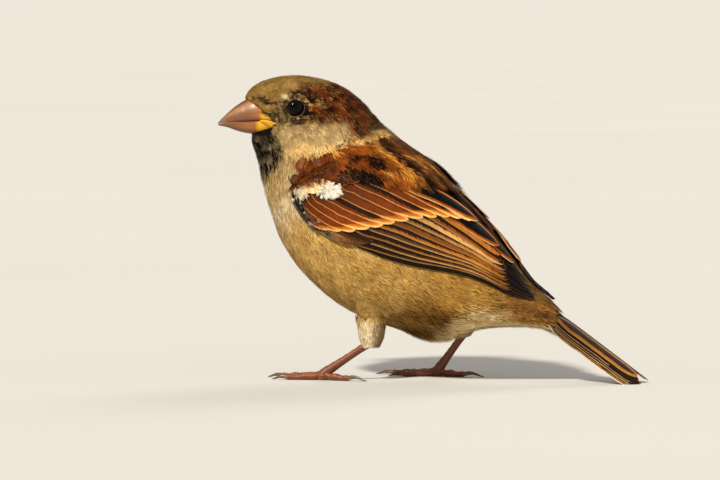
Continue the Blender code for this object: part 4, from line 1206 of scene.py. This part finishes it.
def make_skin(look):
    """One closed skin for head, neck, trunk and shanks, which lies inside the coat."""
    station, angle = lattice(np.linspace(0, LAST, 200), np.linspace(-math.pi, math.pi, 141)[:-1])
    place, _, _, normal = frames(padded_back, station, angle)
    outer = body(station, angle)
    low_tail = under_tail(station, np.degrees(np.abs(angle)))
    tapered = 2.2 * rise(station, 14.3, 15.8)
    grid = place - normal * (coat_depth(station) + 0.8 * low_tail + tapered)[..., None]
    hollow = beside_bill(station, angle)[..., None]
    centre = ring_middle(station)
    grid = np.where(hollow, centre + (outer - centre) * 0.5, grid)
    pieces = [add_tube("skin_body", grid, look)]
    for leg in LEGS:
        share, turn = lattice(np.linspace(0, 0.985, 24), turns(24))
        surface = shank_surface(leg)
        tube, _, _, out = frames(surface, share, turn)
        pieces.append(add_tube("skin_shank_" + leg.word, tube - out * SHANK_SKIN_DEPTH, look))
    joined = [np.array([v.co for v in p.data.vertices]) for p in pieces]
    starts = np.cumsum([0] + [len(j) for j in joined])
    faces = [[v + s for v in f.vertices] for p, s in zip(pieces, starts) for f in p.data.polygons]
    mesh = bpy.data.meshes.new("skin")
    mesh.from_pydata(np.vstack(joined).tolist(), [], faces)
    for piece in pieces:
        bpy.data.objects.remove(piece)
    skin = bpy.data.objects.new("skin", mesh)
    bpy.context.scene.collection.objects.link(skin)
    for kind, settings in (("REMESH", {"mode": "VOXEL", "voxel_size": SKIN_VOXEL * MM}),
                           ("SMOOTH", {"factor": 0.5, "iterations": 3})):
        change = skin.modifiers.new(kind.lower(), kind)
        for key, value in settings.items():
            setattr(change, key, value)
    graph = bpy.context.evaluated_depsgraph_get()
    skin.data = bpy.data.meshes.new_from_object(skin.evaluated_get(graph))
    skin.modifiers.clear()
    skin.data.materials.clear()
    skin.data.materials.append(look)
    skin.data.shade_smooth()

    # The coat's colours, read at the nearest place of the form, halved as painted shade down among the
    # feathers' roots.
    tree = KDTree(grid.shape[0] * grid.shape[1])
    flat = (grid.reshape(-1, 3) + SHIFT) * MM
    for i, p in enumerate(flat):
        tree.insert(p, i)
    tree.balance()
    nearest = np.array([tree.find(v.co)[1] for v in skin.data.vertices])
    colour = 0.5 * plumage(station.reshape(-1)[nearest], angle.reshape(-1)[nearest])[:, :3]
    layer = skin.data.attributes.new("plumage", "FLOAT_COLOR", "POINT")
    opaque = np.hstack([colour, np.ones((len(colour), 1))])
    layer.data.foreach_set("color", opaque.astype(np.float32).reshape(-1))
    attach(skin, "root")
    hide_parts("head", "neck", "trunk", "shank_left", "shank_right")


def make_soft_coat(look):
    """The tufts of head, body and thighs."""
    def head_spacing(station):
        return np.interp(station, [0, 2, 4, 6.5], [0.40, 0.46, 0.66, 0.84])

    def head_keep(station, angle):
        back, up = from_eye(station, angle)
        return ~beside_bill(station, angle) & (np.hypot(back, up) > EYE_BARE)

    station, angle = spread_roots(head_spacing, head_keep, (0.0, 6.6), seed=3)
    back, up = from_eye(station, angle)
    near_eye = fall(np.hypot(back, up), 3.0, 6.0)
    length = np.interp(station, [0, 2, 4, 6.5], [1.5, 2.1, 3.0, 4.2]) * (1 - 0.5 * near_eye)
    bib = ahead_of(BIB_REAR, back, up) * (up < -7)
    length = length * (1 + 0.35 * bib) * RANDOM.uniform(0.8, 1.2, len(station))
    nasal = (back < -8.6) & (np.abs(over(CROWN_LINE, back, up) + 0.9) < 0.8)
    heading = np.where(nasal, math.pi * 0.9, 0.0) * np.where(angle < 0, 1, -1)
    heading = heading + RANDOM.normal(0, 0.14, len(station))
    reach = np.linalg.norm(frames(body, station, angle)[1], axis=-1)  # mm from one station to the next
    colour = plumage(station + np.minimum(0.4 * length / reach, 2.5), angle)
    colour[nasal] *= 0.35
    proud = 0.10 + 0.20 * rise(station, 3, 6) + 0.25 * bib
    barb = np.interp(station, [0, 6.5], [0.15, 0.23])
    tufts("head_feathers", station, angle, heading, length, length * 0.22, barb, 6,
          coat_depth(station) * 0.9, proud, colour, 0.35, look)

    def body_spacing(station):
        return np.interp(station, [6.4, 9, 13, 16], [0.86, 1.0, 1.0, 0.95])

    def body_keep(station, angle):
        share = wing_share(station, angle)
        under_wing = (share > -0.05) & (share < 0.86) & (station > 6.85) & (station < 13.6)
        around = np.degrees(np.abs(angle))
        behind_collar = station > np.interp(around, *BACK_FIRST) - 0.42
        under_back = (around < np.interp(station, *BACK_LOW)) & behind_collar & (station < 11.8)
        over_tail = station > 14.5 + 0.9 * rise(around, 30, 90)
        return ~under_wing & ~under_back & ~over_tail

    station, angle = spread_roots(body_spacing, body_keep, (6.4, 15.4), seed=5)
    around = degrees_round(angle)
    length = np.interp(station, [6.4, 8, 10, 13, 13.8, 15.4], [4.0, 5.0, 6.2, 6.2, 5.2, 5.4])
    length = length * RANDOM.uniform(0.8, 1.2, len(station))
    seen = station + 0.35 * length / BODY_STEP * rise(station, 8.0, 10.5)  # where a tuft's colours show
    collar = (around < 100) & (station < 7.3)
    length[collar] *= 0.8
    vent = rise(station, 11.9, 12.6) * fall(station, 12.85, 13.05) * rise(around, 105, 145)
    undertail = under_tail(station, around)
    edge_of_flank = rise(station, 11.9, 12.5) * fall(station, 12.9, 13.1) * fall(np.abs(around - 78), 8, 20)
    settle = rise(station, 13.6, 15.4) * (1.2 - 0.5 * np.cos(angle) + 1.3 * np.sin(angle) ** 2)
    proud = 0.22 + 0.25 * collar + 1.3 * vent - 0.7 * undertail + 0.5 * edge_of_flank - settle
    depth = coat_depth(station) * 0.95 + 0.6 * undertail + 1.6 * rise(station, 14.2, 15.2)
    heading = RANDOM.normal(0, 0.17, len(station))
    colour = plumage(seen, angle)
    for name, part in (("breast_feathers", station < BREAST_END), ("body_feathers", station >= BREAST_END)):
        tufts(name, station[part], angle[part], heading[part], length[part],
              length[part] * 0.22, 0.27, 8, depth[part], proud[part], colour[part], 0.35, look)

    for leg in LEGS:
        n = THIGH_TUFTS
        share, turn = RANDOM.uniform(0.30, 0.86, n), RANDOM.uniform(-math.pi, math.pi, n)
        # The rear of each thigh turns to THIGH_DARK: partly its own brown edge, partly painted shade on the
        # side away from the light.
        rear = 0.5 + 0.5 * np.cos(turn)
        colour = mix(mix(THIGH, CREAM, RANDOM.uniform(0, 1, n)), THIGH_DARK, 0.85 * rise(rear, 0.50, 0.9))
        colour = mix(BELLY, colour, rise(share, 0.28, 0.40))
        length = 3.0 * (1 - 0.45 * rise(share, 0.6, 0.86))
        own_patch = np.stack([turn / (2 * math.pi) % 1, 0.95 + 0.04 * share], -1)
        tufts(f"thigh_{leg.word}", share, turn, RANDOM.normal(0, 0.18, n), length, 0.7,
              0.22, 6, 0.8, -0.45, pair(colour, mix(colour, WHITE, 0.3)), 0.45, look,
              surface=shank_surface(leg), unwrapped=own_patch)


# ---------------------------------------------------------------- eyes and lids
EYE_OPENING = (2.86, 2.58)  # half its length and half its height
CORNEA_BULGE, CORNEA_SPREAD = 0.14, 0.75  # mm, radians from the eye's axis
LID_WIDTH, LID_THICKNESS = 0.62, 0.26
LID_SCALES, LID_SCALE_HEIGHT = 34, 0.035
SIDES = ((1, "right"), (-1, "left"))


def eye_place(side, x, y, z):
    """A place by millimetres behind, out from and above an eyeball's centre."""
    x, y, z = np.broadcast_arrays(x, y, z)
    return head_turned(np.stack([EYE[0] + x, side * (EYE[1] + y), EYE[2] + z], -1))


def make_eyes(ball_look, lid_look):
    """Both eyeballs and the lids round them."""
    for side, word in SIDES:
        pole, turn = lattice(np.linspace(0.02, math.pi * 0.62, 40), turns(64))
        radius = EYE_RADIUS - 0.12 + CORNEA_BULGE * np.exp(-((pole / CORNEA_SPREAD) ** 2))
        grid = eye_place(side, radius * np.sin(pole) * np.cos(turn), radius * np.cos(pole),
                         radius * np.sin(pole) * np.sin(turn))
        field = np.stack([np.sin(pole) * EYE_RADIUS, turn, 0 * turn], -1)
        ball = add_tube(f"eyeball_{word}", grid, ball_look, {"eye": field})
        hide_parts(f"eye_{word}")
        # The lids: a rolled, finely scaled rim round the opening, a little thicker above and below.
        across, turn = lattice(np.linspace(0, 1, 14), turns(128))
        reach = across * LID_WIDTH - 0.04
        x = (EYE_OPENING[0] + reach) * np.cos(turn)
        z = (EYE_OPENING[1] + reach) * np.sin(turn)
        beads = LID_SCALE_HEIGHT * np.cos(turn * LID_SCALES) * np.sin(math.pi * across)
        on_ball = np.sqrt(np.maximum((EYE_RADIUS + 0.02) ** 2 - x**2 - z**2, 0.0))
        lip = LID_THICKNESS * np.sin(math.pi * np.clip(across * 1.25, 0, 1)) ** 0.7 + beads
        y = on_ball + lip - 0.5 * rise(across, 0.75, 1.0)
        lid = add_tube(f"lids_{word}", eye_place(side, x, y, z), lid_look,
                       {"lid": np.stack([across, turn, 0 * turn], -1)}, caps=False)


def ball_look():
    """A wet, nearly black eyeball with a faintly streaked brown iris."""
    look = Look("eye_dark")
    off_axis = look.parts("eye")[0]
    iris = look.math("SUBTRACT", look.rise(off_axis, 1.45, 1.6), look.rise(off_axis, 2.5, 2.9), clamp=True)
    streak = look.noise(1.0, 2.0, 0.5, look.scaled(look.field("eye", "Vector"), (1.5, 9.0, 1.0)))
    brown = look.mix(streak, (0.003, 0.0015, 0.001), (0.010, 0.004, 0.002))
    look.surface(look.mix(iris, (0.0015, 0.0012, 0.001), brown), roughness=0.05, specular=0.12)
    return look.made


def lid_look():
    """Dark bare skin with a pale ring round the opening."""
    look = Look("eyelid_skin")
    outward = look.parts("lid")[0]
    pale = look.math("SUBTRACT", look.rise(outward, 0.10, 0.26), look.rise(outward, 0.40, 0.62), clamp=True)
    tone = look.noise(2600.0, 2.0)
    skin = look.mix(tone, (0.030, 0.024, 0.018), (0.075, 0.058, 0.040))
    ring = look.mix(tone, (0.15, 0.125, 0.09), (0.36, 0.30, 0.22))
    look.surface(look.mix(pale, skin, ring), roughness=0.55)
    look.bump(tone, 0.4, 0.00005)
    return look.made


# ---------------------------------------------------------------- bill
BILL = {  # share from the rear end: culmen, gape line, gonys (mm above the tip) and half width
    0.00: (7.6, 0.2, -2.7, 4.20), 0.12: (8.2, 0.6, -2.9, 4.35), 0.26: (8.4, 1.0, -3.05, 4.25),
    0.41: (8.0, 0.9, -3.1, 3.90), 0.60: (6.2, 0.7, -2.55, 3.00), 0.71: (4.9, 0.65, -1.95, 2.35),
    0.83: (3.2, 0.5, -1.2, 1.50), 0.95: (1.35, 0.05, -0.75, 0.70), 1.00: (0.35, -0.2, -0.6, 0.35),
}
BILL_ROWS = padded(list(BILL.values()))
BILL_PINK, BILL_BROWN, BILL_DARK = paint(158, 110, 68), paint(110, 62, 26), paint(42, 26, 18)
BILL_ORANGE, BILL_YELLOW, BILL_RED = paint(156, 94, 44), paint(250, 182, 0), paint(92, 38, 18)
BILL_TIP_GREY = paint(112, 90, 74)
GAPE_THICKNESS = 0.42
GAPE_LINE = [(12.6, 0.95), (14.0, 0.85), (15.6, 0.5), (17.2, 0.1), (18.8, -0.6)]  # behind, above the tip


def bill_section(share, around, upper):
    """A place on a mandible: around runs 0 to 1 from one tomium over the ridge to the other."""
    at = np.interp(share, list(BILL), range(len(BILL)))
    culmen, gape, gonys, wide = np.moveaxis(spline(BILL_ROWS, at), -1, 0)
    crest = culmen if upper else gonys
    edge = gape + (0.04 if upper else -0.04)
    wide = wide * (1.0 if upper else 0.93)
    a = math.pi * around
    lift = np.sin(a) ** (0.80 if upper else 0.90)
    # A soft ridge along the culmen, and a faint shelf above the cutting edge.
    ridge = 0.16 * np.exp(-(((around - 0.5) / 0.07) ** 2)) * (1 if upper else 0.4) * rise(1 - share, 0, 0.1)
    height = edge + (crest - edge) * (lift + ridge * 0.25)
    x = BILL_TIP[0] + BILL_LENGTH * (1 - share)
    y = wide * np.cos(a) * (1 - 0.10 * np.sin(a) ** 6 * (1 if upper else 0))
    return np.stack([x, y, BILL_TIP[2] + height], -1)


def bill_colour(back, high, upper):
    """back: mm from the tip; high: 0 at the cutting edge, 1 at the ridge."""
    if upper:
        # The pinkish upper side, strongest just below the ridge, is partly the horn's own tone and partly a
        # painted highlight.
        colour = mix(BILL_PINK, BILL_BROWN, 0.85 * fall(high, 0.30, 0.70))
        colour = mix(colour, BILL_ORANGE, 0.85 * rise(back, 9, 12) * fall(high, 0.40, 0.80))
        colour = mix(colour, BILL_YELLOW, 0.85 * rise(back, 12.0, 13.8) * fall(high, 0.35, 0.62))
        colour = mix(colour, BILL_BROWN, 0.75 * rise(high, 0.74, 0.90))
        colour = mix(colour, BILL_DARK, 0.9 * rise(high, 0.93, 0.985))
    else:
        colour = mix(BILL_ORANGE, BILL_BROWN, 0.6 * fall(back, 5, 9))
        colour = mix(colour, BILL_YELLOW, rise(back, 10.8, 12.6))
        colour = mix(colour, BILL_RED, 0.8 * rise(high, 0.55, 0.90) * fall(back, 11.0, 13))
        colour = mix(colour, BILL_DARK, 0.6 * rise(high, 0.85, 1.0) * fall(back, 8, 11))
    edge = fall(high, 0.0, 0.10)
    colour = mix(colour, BILL_RED * 0.6, 0.8 * edge * rise(back, 3.0, 6.0))
    return mix(colour, BILL_TIP_GREY, 0.85 * fall(back, 0.3, 3.8))


def make_bill(look):
    """Both mandibles' horn, each closed by the flat of its cutting edge."""
    for upper, node in ((True, "bill_upper"), (False, "bill_lower")):
        share, around = lattice(1 - (1 - np.linspace(0, 1, 90)) ** 1.2, np.linspace(0, 1, 61))
        flat = bill_section(share, around, upper)
        high = np.sin(math.pi * around)
        colour = bill_colour(BILL_LENGTH * (1 - share), high, upper)
        inner = np.linspace(1, 0, 9)[1:-1]
        floor_y = flat[:, -1:, 1] + (flat[:, :1, 1] - flat[:, -1:, 1]) * (1 - inner)[None]
        floor = np.repeat(flat[:, :1], len(inner), 1)
        floor[..., 1] = floor_y
        grid = head_turned(np.concatenate([flat, floor], 1))
        tint = np.concatenate([colour, np.broadcast_to(BILL_RED * 0.5, floor.shape)], 1)
        horn = add_tube(node + "_horn", grid, look, {"horn": tint})
        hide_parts(node)


def make_gapes(look):
    """The fleshy corners of the mouth, from the bill's side back over the face."""
    for side, word in SIDES:
        at = np.linspace(0, 1, 30)
        back, up = fan(len(at), *np.transpose(GAPE_LINE)).T
        depth = np.array([on_face(BILL_TIP[0] + b, BILL_TIP[2] + u) for b, u in zip(back, up)])
        bill_side = np.interp(back, [12.6, 14, 15.5], [4.15, 4.25, 4.3])
        y = np.maximum(depth - 0.15, np.where(back < 16, bill_side, 0))
        swell = GAPE_THICKNESS * np.sin(math.pi * np.clip(at * 0.9 + 0.12, 0, 1)) ** 0.6
        turn = turns(16)
        ring = np.stack([0 * turn[None] * at[:, None], 0.45 * swell[:, None] * np.cos(turn)[None],
                         swell[:, None] * np.sin(turn)[None]], -1)
        centre = np.stack([BILL_TIP[0] + back, y, BILL_TIP[2] + up], -1)
        grid = (centre[:, None] + ring) * (1, side, 1)
        yellow = mix(BILL_YELLOW, BILL_ORANGE, 0.35 + 0.4 * rise(at, 0.4, 1.0))
        tint = np.broadcast_to(yellow[:, None], grid.shape)
        gape = add_tube(f"gape_{word}", head_turned(grid), look, {"horn": tint})


def on_face(x, z):
    """The head's half width at a place in its side view."""
    station, angle = lattice(np.linspace(0, 6, 121), np.radians(np.linspace(20, 160, 141)))
    flat = flat_point(station, angle)
    nearest = np.argmin((flat[..., 0] - x) ** 2 + (flat[..., 2] - z) ** 2)
    return flat[..., 1].reshape(-1)[nearest]


def horn_look(name, roughness, coat):
    """Horn or scaly skin: the colour field, with lengthwise grain and soft blotches."""
    look = Look(name)
    grain = look.noise(1.0, 3.0, 0.55, look.scaled(look.object_place(), (260.0, 1100.0, 1100.0)))
    colour = look.toned(look.field("horn"), grain, 0.82, 0.35)
    colour = look.toned(colour, look.noise(420.0, 3.0, 0.6), 0.75, 0.5)
    look.surface(colour, roughness, coat, coat_roughness=0.25)
    look.bump(grain, 0.6, 0.0001)
    return look.made


# ---------------------------------------------------------------- bare legs, toes and claws
LEG_SKIN, LEG_PALE, LEG_DARK = paint(98, 42, 10), paint(166, 92, 34), paint(58, 30, 16)
CLAW_DARK, CLAW_PALE = paint(58, 42, 32), paint(128, 100, 74)
SCUTE_SPAN = 0.75  # how far round from the front the scutes reach
SCUTE_LENGTH = 0.95
SCUTE_HEIGHT, SCALE_HEIGHT = 0.13, 0.03  # as shares of the tube's radius
CLAW_ROOT_RADIUS, CLAW_TIP_RADIUS = 0.70, 0.10


def toe_direction(leg, toe):
    """The level direction in which a toe points."""
    angle = math.radians(-leg.heading - leg.side * TOE_SPREAD[toe])
    return np.array([-math.cos(angle), math.sin(angle), 0.0])


def tube_axes(path, up):
    """Directions across a tube and out of its upper side, at each point of its path."""
    travel = unit(np.gradient(path, axis=0))
    across = unit(np.cross(travel, np.broadcast_to(up, travel.shape)))
    return across[:, None], np.cross(across, travel)[:, None]


def scaled_tube(name, path, radii, up, scutes, look, node=None, floor=True):
    """A tube with overlapping scutes along its front or upper side and fine scales round the rest."""
    across, top = tube_axes(path, up)
    turn = turns(28)
    share = np.linspace(0, 1, len(path))
    phase = (share * scutes) % 1.0
    front = rise(np.sin(turn), 1 - 1.6 * SCUTE_SPAN, 0.75)[None]
    step = (1 - phase) ** 0.8 * np.minimum(1.0, phase * 14 + 0.2)
    bulge = SCUTE_HEIGHT * step[:, None] * front
    scales = np.sin(turn * 7)[None] * np.sin(share * scutes * 4 * math.pi)[:, None]
    beads = SCALE_HEIGHT * scales * (1 - front)
    radius = radii[:, None] * (1 + bulge + beads)
    grid = path[:, None] + radius[..., None] * (
        across * np.cos(turn)[None, :, None] + top * np.sin(turn)[None, :, None])
    if floor:
        grid[..., 2] = np.maximum(grid[..., 2], 0.0)
    # Painted shade darkens the grooves where each scute starts under the edge of the one before; the side
    # away from the scutes is a little darker too.
    groove = (1 - np.minimum(1.0, phase * 7))[:, None] * front
    tone = RANDOM.uniform(0, 1, scutes + 1)[np.minimum((share * scutes).astype(int), scutes)][:, None]
    colour = mix(LEG_SKIN, LEG_PALE, 0.45 * front * tone + 0.2)
    colour = mix(colour, LEG_DARK, 0.75 * groove + 0.25 * (1 - front))
    tube = add_tube(name, grid, look, {"horn": colour})
    if node:
        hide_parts(node)
    return tube


def make_legs(look, claw_look):
    """Tarsi, foot pads and toes, each toe with its claw."""
    for leg in LEGS:
        heel, foot = np.array(leg.heel), np.array(leg.foot)
        share = np.linspace(0, 1, 90)
        path = heel + (foot - heel) * share[:, None]
        radii = TARSUS_RADIUS * np.interp(share, np.linspace(0, 1, len(TARSUS_SWELL)), TARSUS_SWELL)
        scaled_tube(f"{leg.word}_tarsus_skin", path, radii, (-1.0, 0.0, 0.5), 8, look,
                    f"tarsus_{leg.word}", floor=False)
        heights = np.linspace(PAD_HEIGHTS[0], PAD_HEIGHTS[-1], 26)
        pad = np.stack([np.full(26, foot[0]), np.full(26, foot[1]), heights], -1)
        radii = np.interp(heights, PAD_HEIGHTS, PAD_RADII)
        scaled_tube(f"{leg.word}_foot_pad", pad, radii, (-1.0, 0.0, 0.0), 3, look,
                    f"foot_{leg.word}")
        for toe, length in TOE_LENGTHS.items():
            ahead = toe_direction(leg, toe)
            joints = 3 if toe == "middle" else 2
            share = np.linspace(0, 1, 100)
            swell = 1 + 0.10 * np.cos(2 * math.pi * joints * share)
            radius = TOE_RADIUS * (1.12 - 0.30 * share) * swell
            height = TOE_ROOT_HEIGHT + (radius * 0.86 - TOE_ROOT_HEIGHT) * smoothstep(2.6 * share)
            path = np.array([foot[0], foot[1], 0]) + ahead * (length * share)[:, None]
            path[:, 2] = height
            close = np.sqrt(np.clip(1 - ((share - 0.93) / 0.07).clip(0, 1) ** 2 * 0.75, 0, 1))
            scaled_tube(f"{leg.word}_{toe}_toe", path, radius * close, (0.0, 0.0, 1.0),
                        round(length / SCUTE_LENGTH), look)
            make_claw(leg, toe, path[-1], ahead, claw_look)


def make_claw(leg, toe, root, ahead, look):
    """A claw that curves down from a toe's end to the floor."""
    share = np.linspace(0, 1, 40)
    lift = (0.55 if toe == "hind" else 0.35) * np.sin(math.pi * np.minimum(share * 1.25, 1.0))
    path = root + ahead * (CLAW_GAP - CLAW_OVERLAP + (CLAW_LENGTHS[toe] + CLAW_OVERLAP) * share)[:, None]
    path[:, 2] = root[2] + lift - (root[2] - 0.30) * share**1.8
    radii = CLAW_ROOT_RADIUS - (CLAW_ROOT_RADIUS - CLAW_TIP_RADIUS) * share**1.15
    across, top = tube_axes(path, (0.0, 0.0, 1.0))
    turn = turns(20)
    narrow = 0.78 + 0.22 * (1 - share)  # claws are deeper than wide
    grid = path[:, None] + radii[:, None, None] * (
        (narrow[:, None] * np.cos(turn)[None])[..., None] * across + np.sin(turn)[None, :, None] * top)
    grid[..., 2] = np.maximum(grid[..., 2], 0.0)
    dark = np.clip(0.25 + 0.75 * share[:, None] + 0.25 * np.sin(turn)[None], 0, 1)
    colour = mix(CLAW_PALE, CLAW_DARK, dark)
    claw = add_tube(f"{leg.word}_{toe}_claw_horn", grid, look, {"horn": colour})
    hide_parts(f"claw_{leg.word}_{toe}")


# ---------------------------------------------------------------- the studio
VIEW_AZIMUTH, VIEW_ELEVATION = math.radians(15), math.radians(2.9)
VIEW_DISTANCE = 1.5
FRAME_WIDTH = 0.2149  # metres across the view at the bird
AIM = Vector((-0.0213, -0.0055, 0.0416))
SENSOR = 36.0
FLOOR_RADIUS = 60.0


def make_studio():
    """The floor, the sky, three lamps and the camera."""
    scene = bpy.context.scene
    scene.view_settings.view_transform = "Standard"
    look = Look("studio_floor")
    grey = look.mix(look.noise(3.0, 2.0), (0.60, 0.59, 0.57), (0.64, 0.63, 0.61))
    look.surface(grey, roughness=0.9, specular=0.1)
    rim = [(FLOOR_RADIUS * math.cos(a), FLOOR_RADIUS * math.sin(a), 0) for a in turns(64)]
    mesh = bpy.data.meshes.new("floor")
    mesh.from_pydata(rim, [], [list(range(len(rim)))])
    mesh.materials.append(look.made)
    floor = bpy.data.objects.new("floor", mesh)
    scene.collection.objects.link(floor)

    world = bpy.data.worlds.new("studio")
    scene.world = world
    world.use_nodes = True
    sky = world.node_tree.nodes["Background"]
    sky.inputs["Color"].default_value = (1.0, 0.97, 0.93, 1)
    sky.inputs["Strength"].default_value = 0.34

    right = Vector((math.cos(VIEW_AZIMUTH), math.sin(VIEW_AZIMUTH), 0))
    towards = Vector((math.sin(VIEW_AZIMUTH), -math.cos(VIEW_AZIMUTH), 0))  # from the bird to the camera
    up = Vector((0, 0, 1))
    # Each light's direction from the bird, spread in degrees, strength and colour.
    for name, place, spread, strength, colour in (
        ("key", right * -0.40 + up * 0.68 + towards * 0.62, 6, 4.0, (1.0, 0.94, 0.82)),
        ("fill", right * 0.75 + up * 0.25 + towards * 0.60, 50, 0.30, (1.0, 0.97, 0.94)),
        ("back", right * 0.35 + up * 0.55 - towards * 0.75, 25, 0.9, (1.0, 0.96, 0.90)),
    ):
        light = bpy.data.lights.new(name, "SUN")
        light.angle = math.radians(spread)
        light.energy = strength
        light.color = colour
        lamp = bpy.data.objects.new(name, light)
        lamp.rotation_euler = place.to_track_quat("Z", "Y").to_euler()
        scene.collection.objects.link(lamp)

    camera = bpy.data.cameras.new("camera")
    camera.sensor_width = SENSOR
    camera.lens = SENSOR * VIEW_DISTANCE / FRAME_WIDTH
    camera.clip_end = 200
    eye = bpy.data.objects.new("camera", camera)
    eye.location = AIM + (towards * math.cos(VIEW_ELEVATION) + up * math.sin(VIEW_ELEVATION)) * VIEW_DISTANCE
    eye.rotation_euler = (AIM - eye.location).to_track_quat("-Z", "Y").to_euler()
    scene.collection.objects.link(eye)
    scene.camera = eye


# ---------------------------------------------------------------- the whole bird
def main():
    soft, vane = tuft_look(), vane_look()
    make_studio()
    make_skin(soft)
    make_soft_coat(soft)
    for wing in WINGS:
        make_wing(wing, vane, soft)
    make_back(soft)
    make_tail(vane)
    make_eyes(ball_look(), lid_look())
    make_bill(horn_look("bill_horn", 0.40, 0.12))
    make_gapes(horn_look("gape_skin", 0.5, 0.1))
    make_legs(horn_look("leg_skin", 0.5, 0.05), horn_look("claw_horn", 0.35, 0.2))
    groups = (("coverts", "greater_coverts"), ("secondaries", "secondaries"), ("primaries", "primaries"))
    for wing, (part, group) in product(WINGS, groups):
        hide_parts(f"wing_{wing.word}_{part}")
    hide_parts("tail")


main()
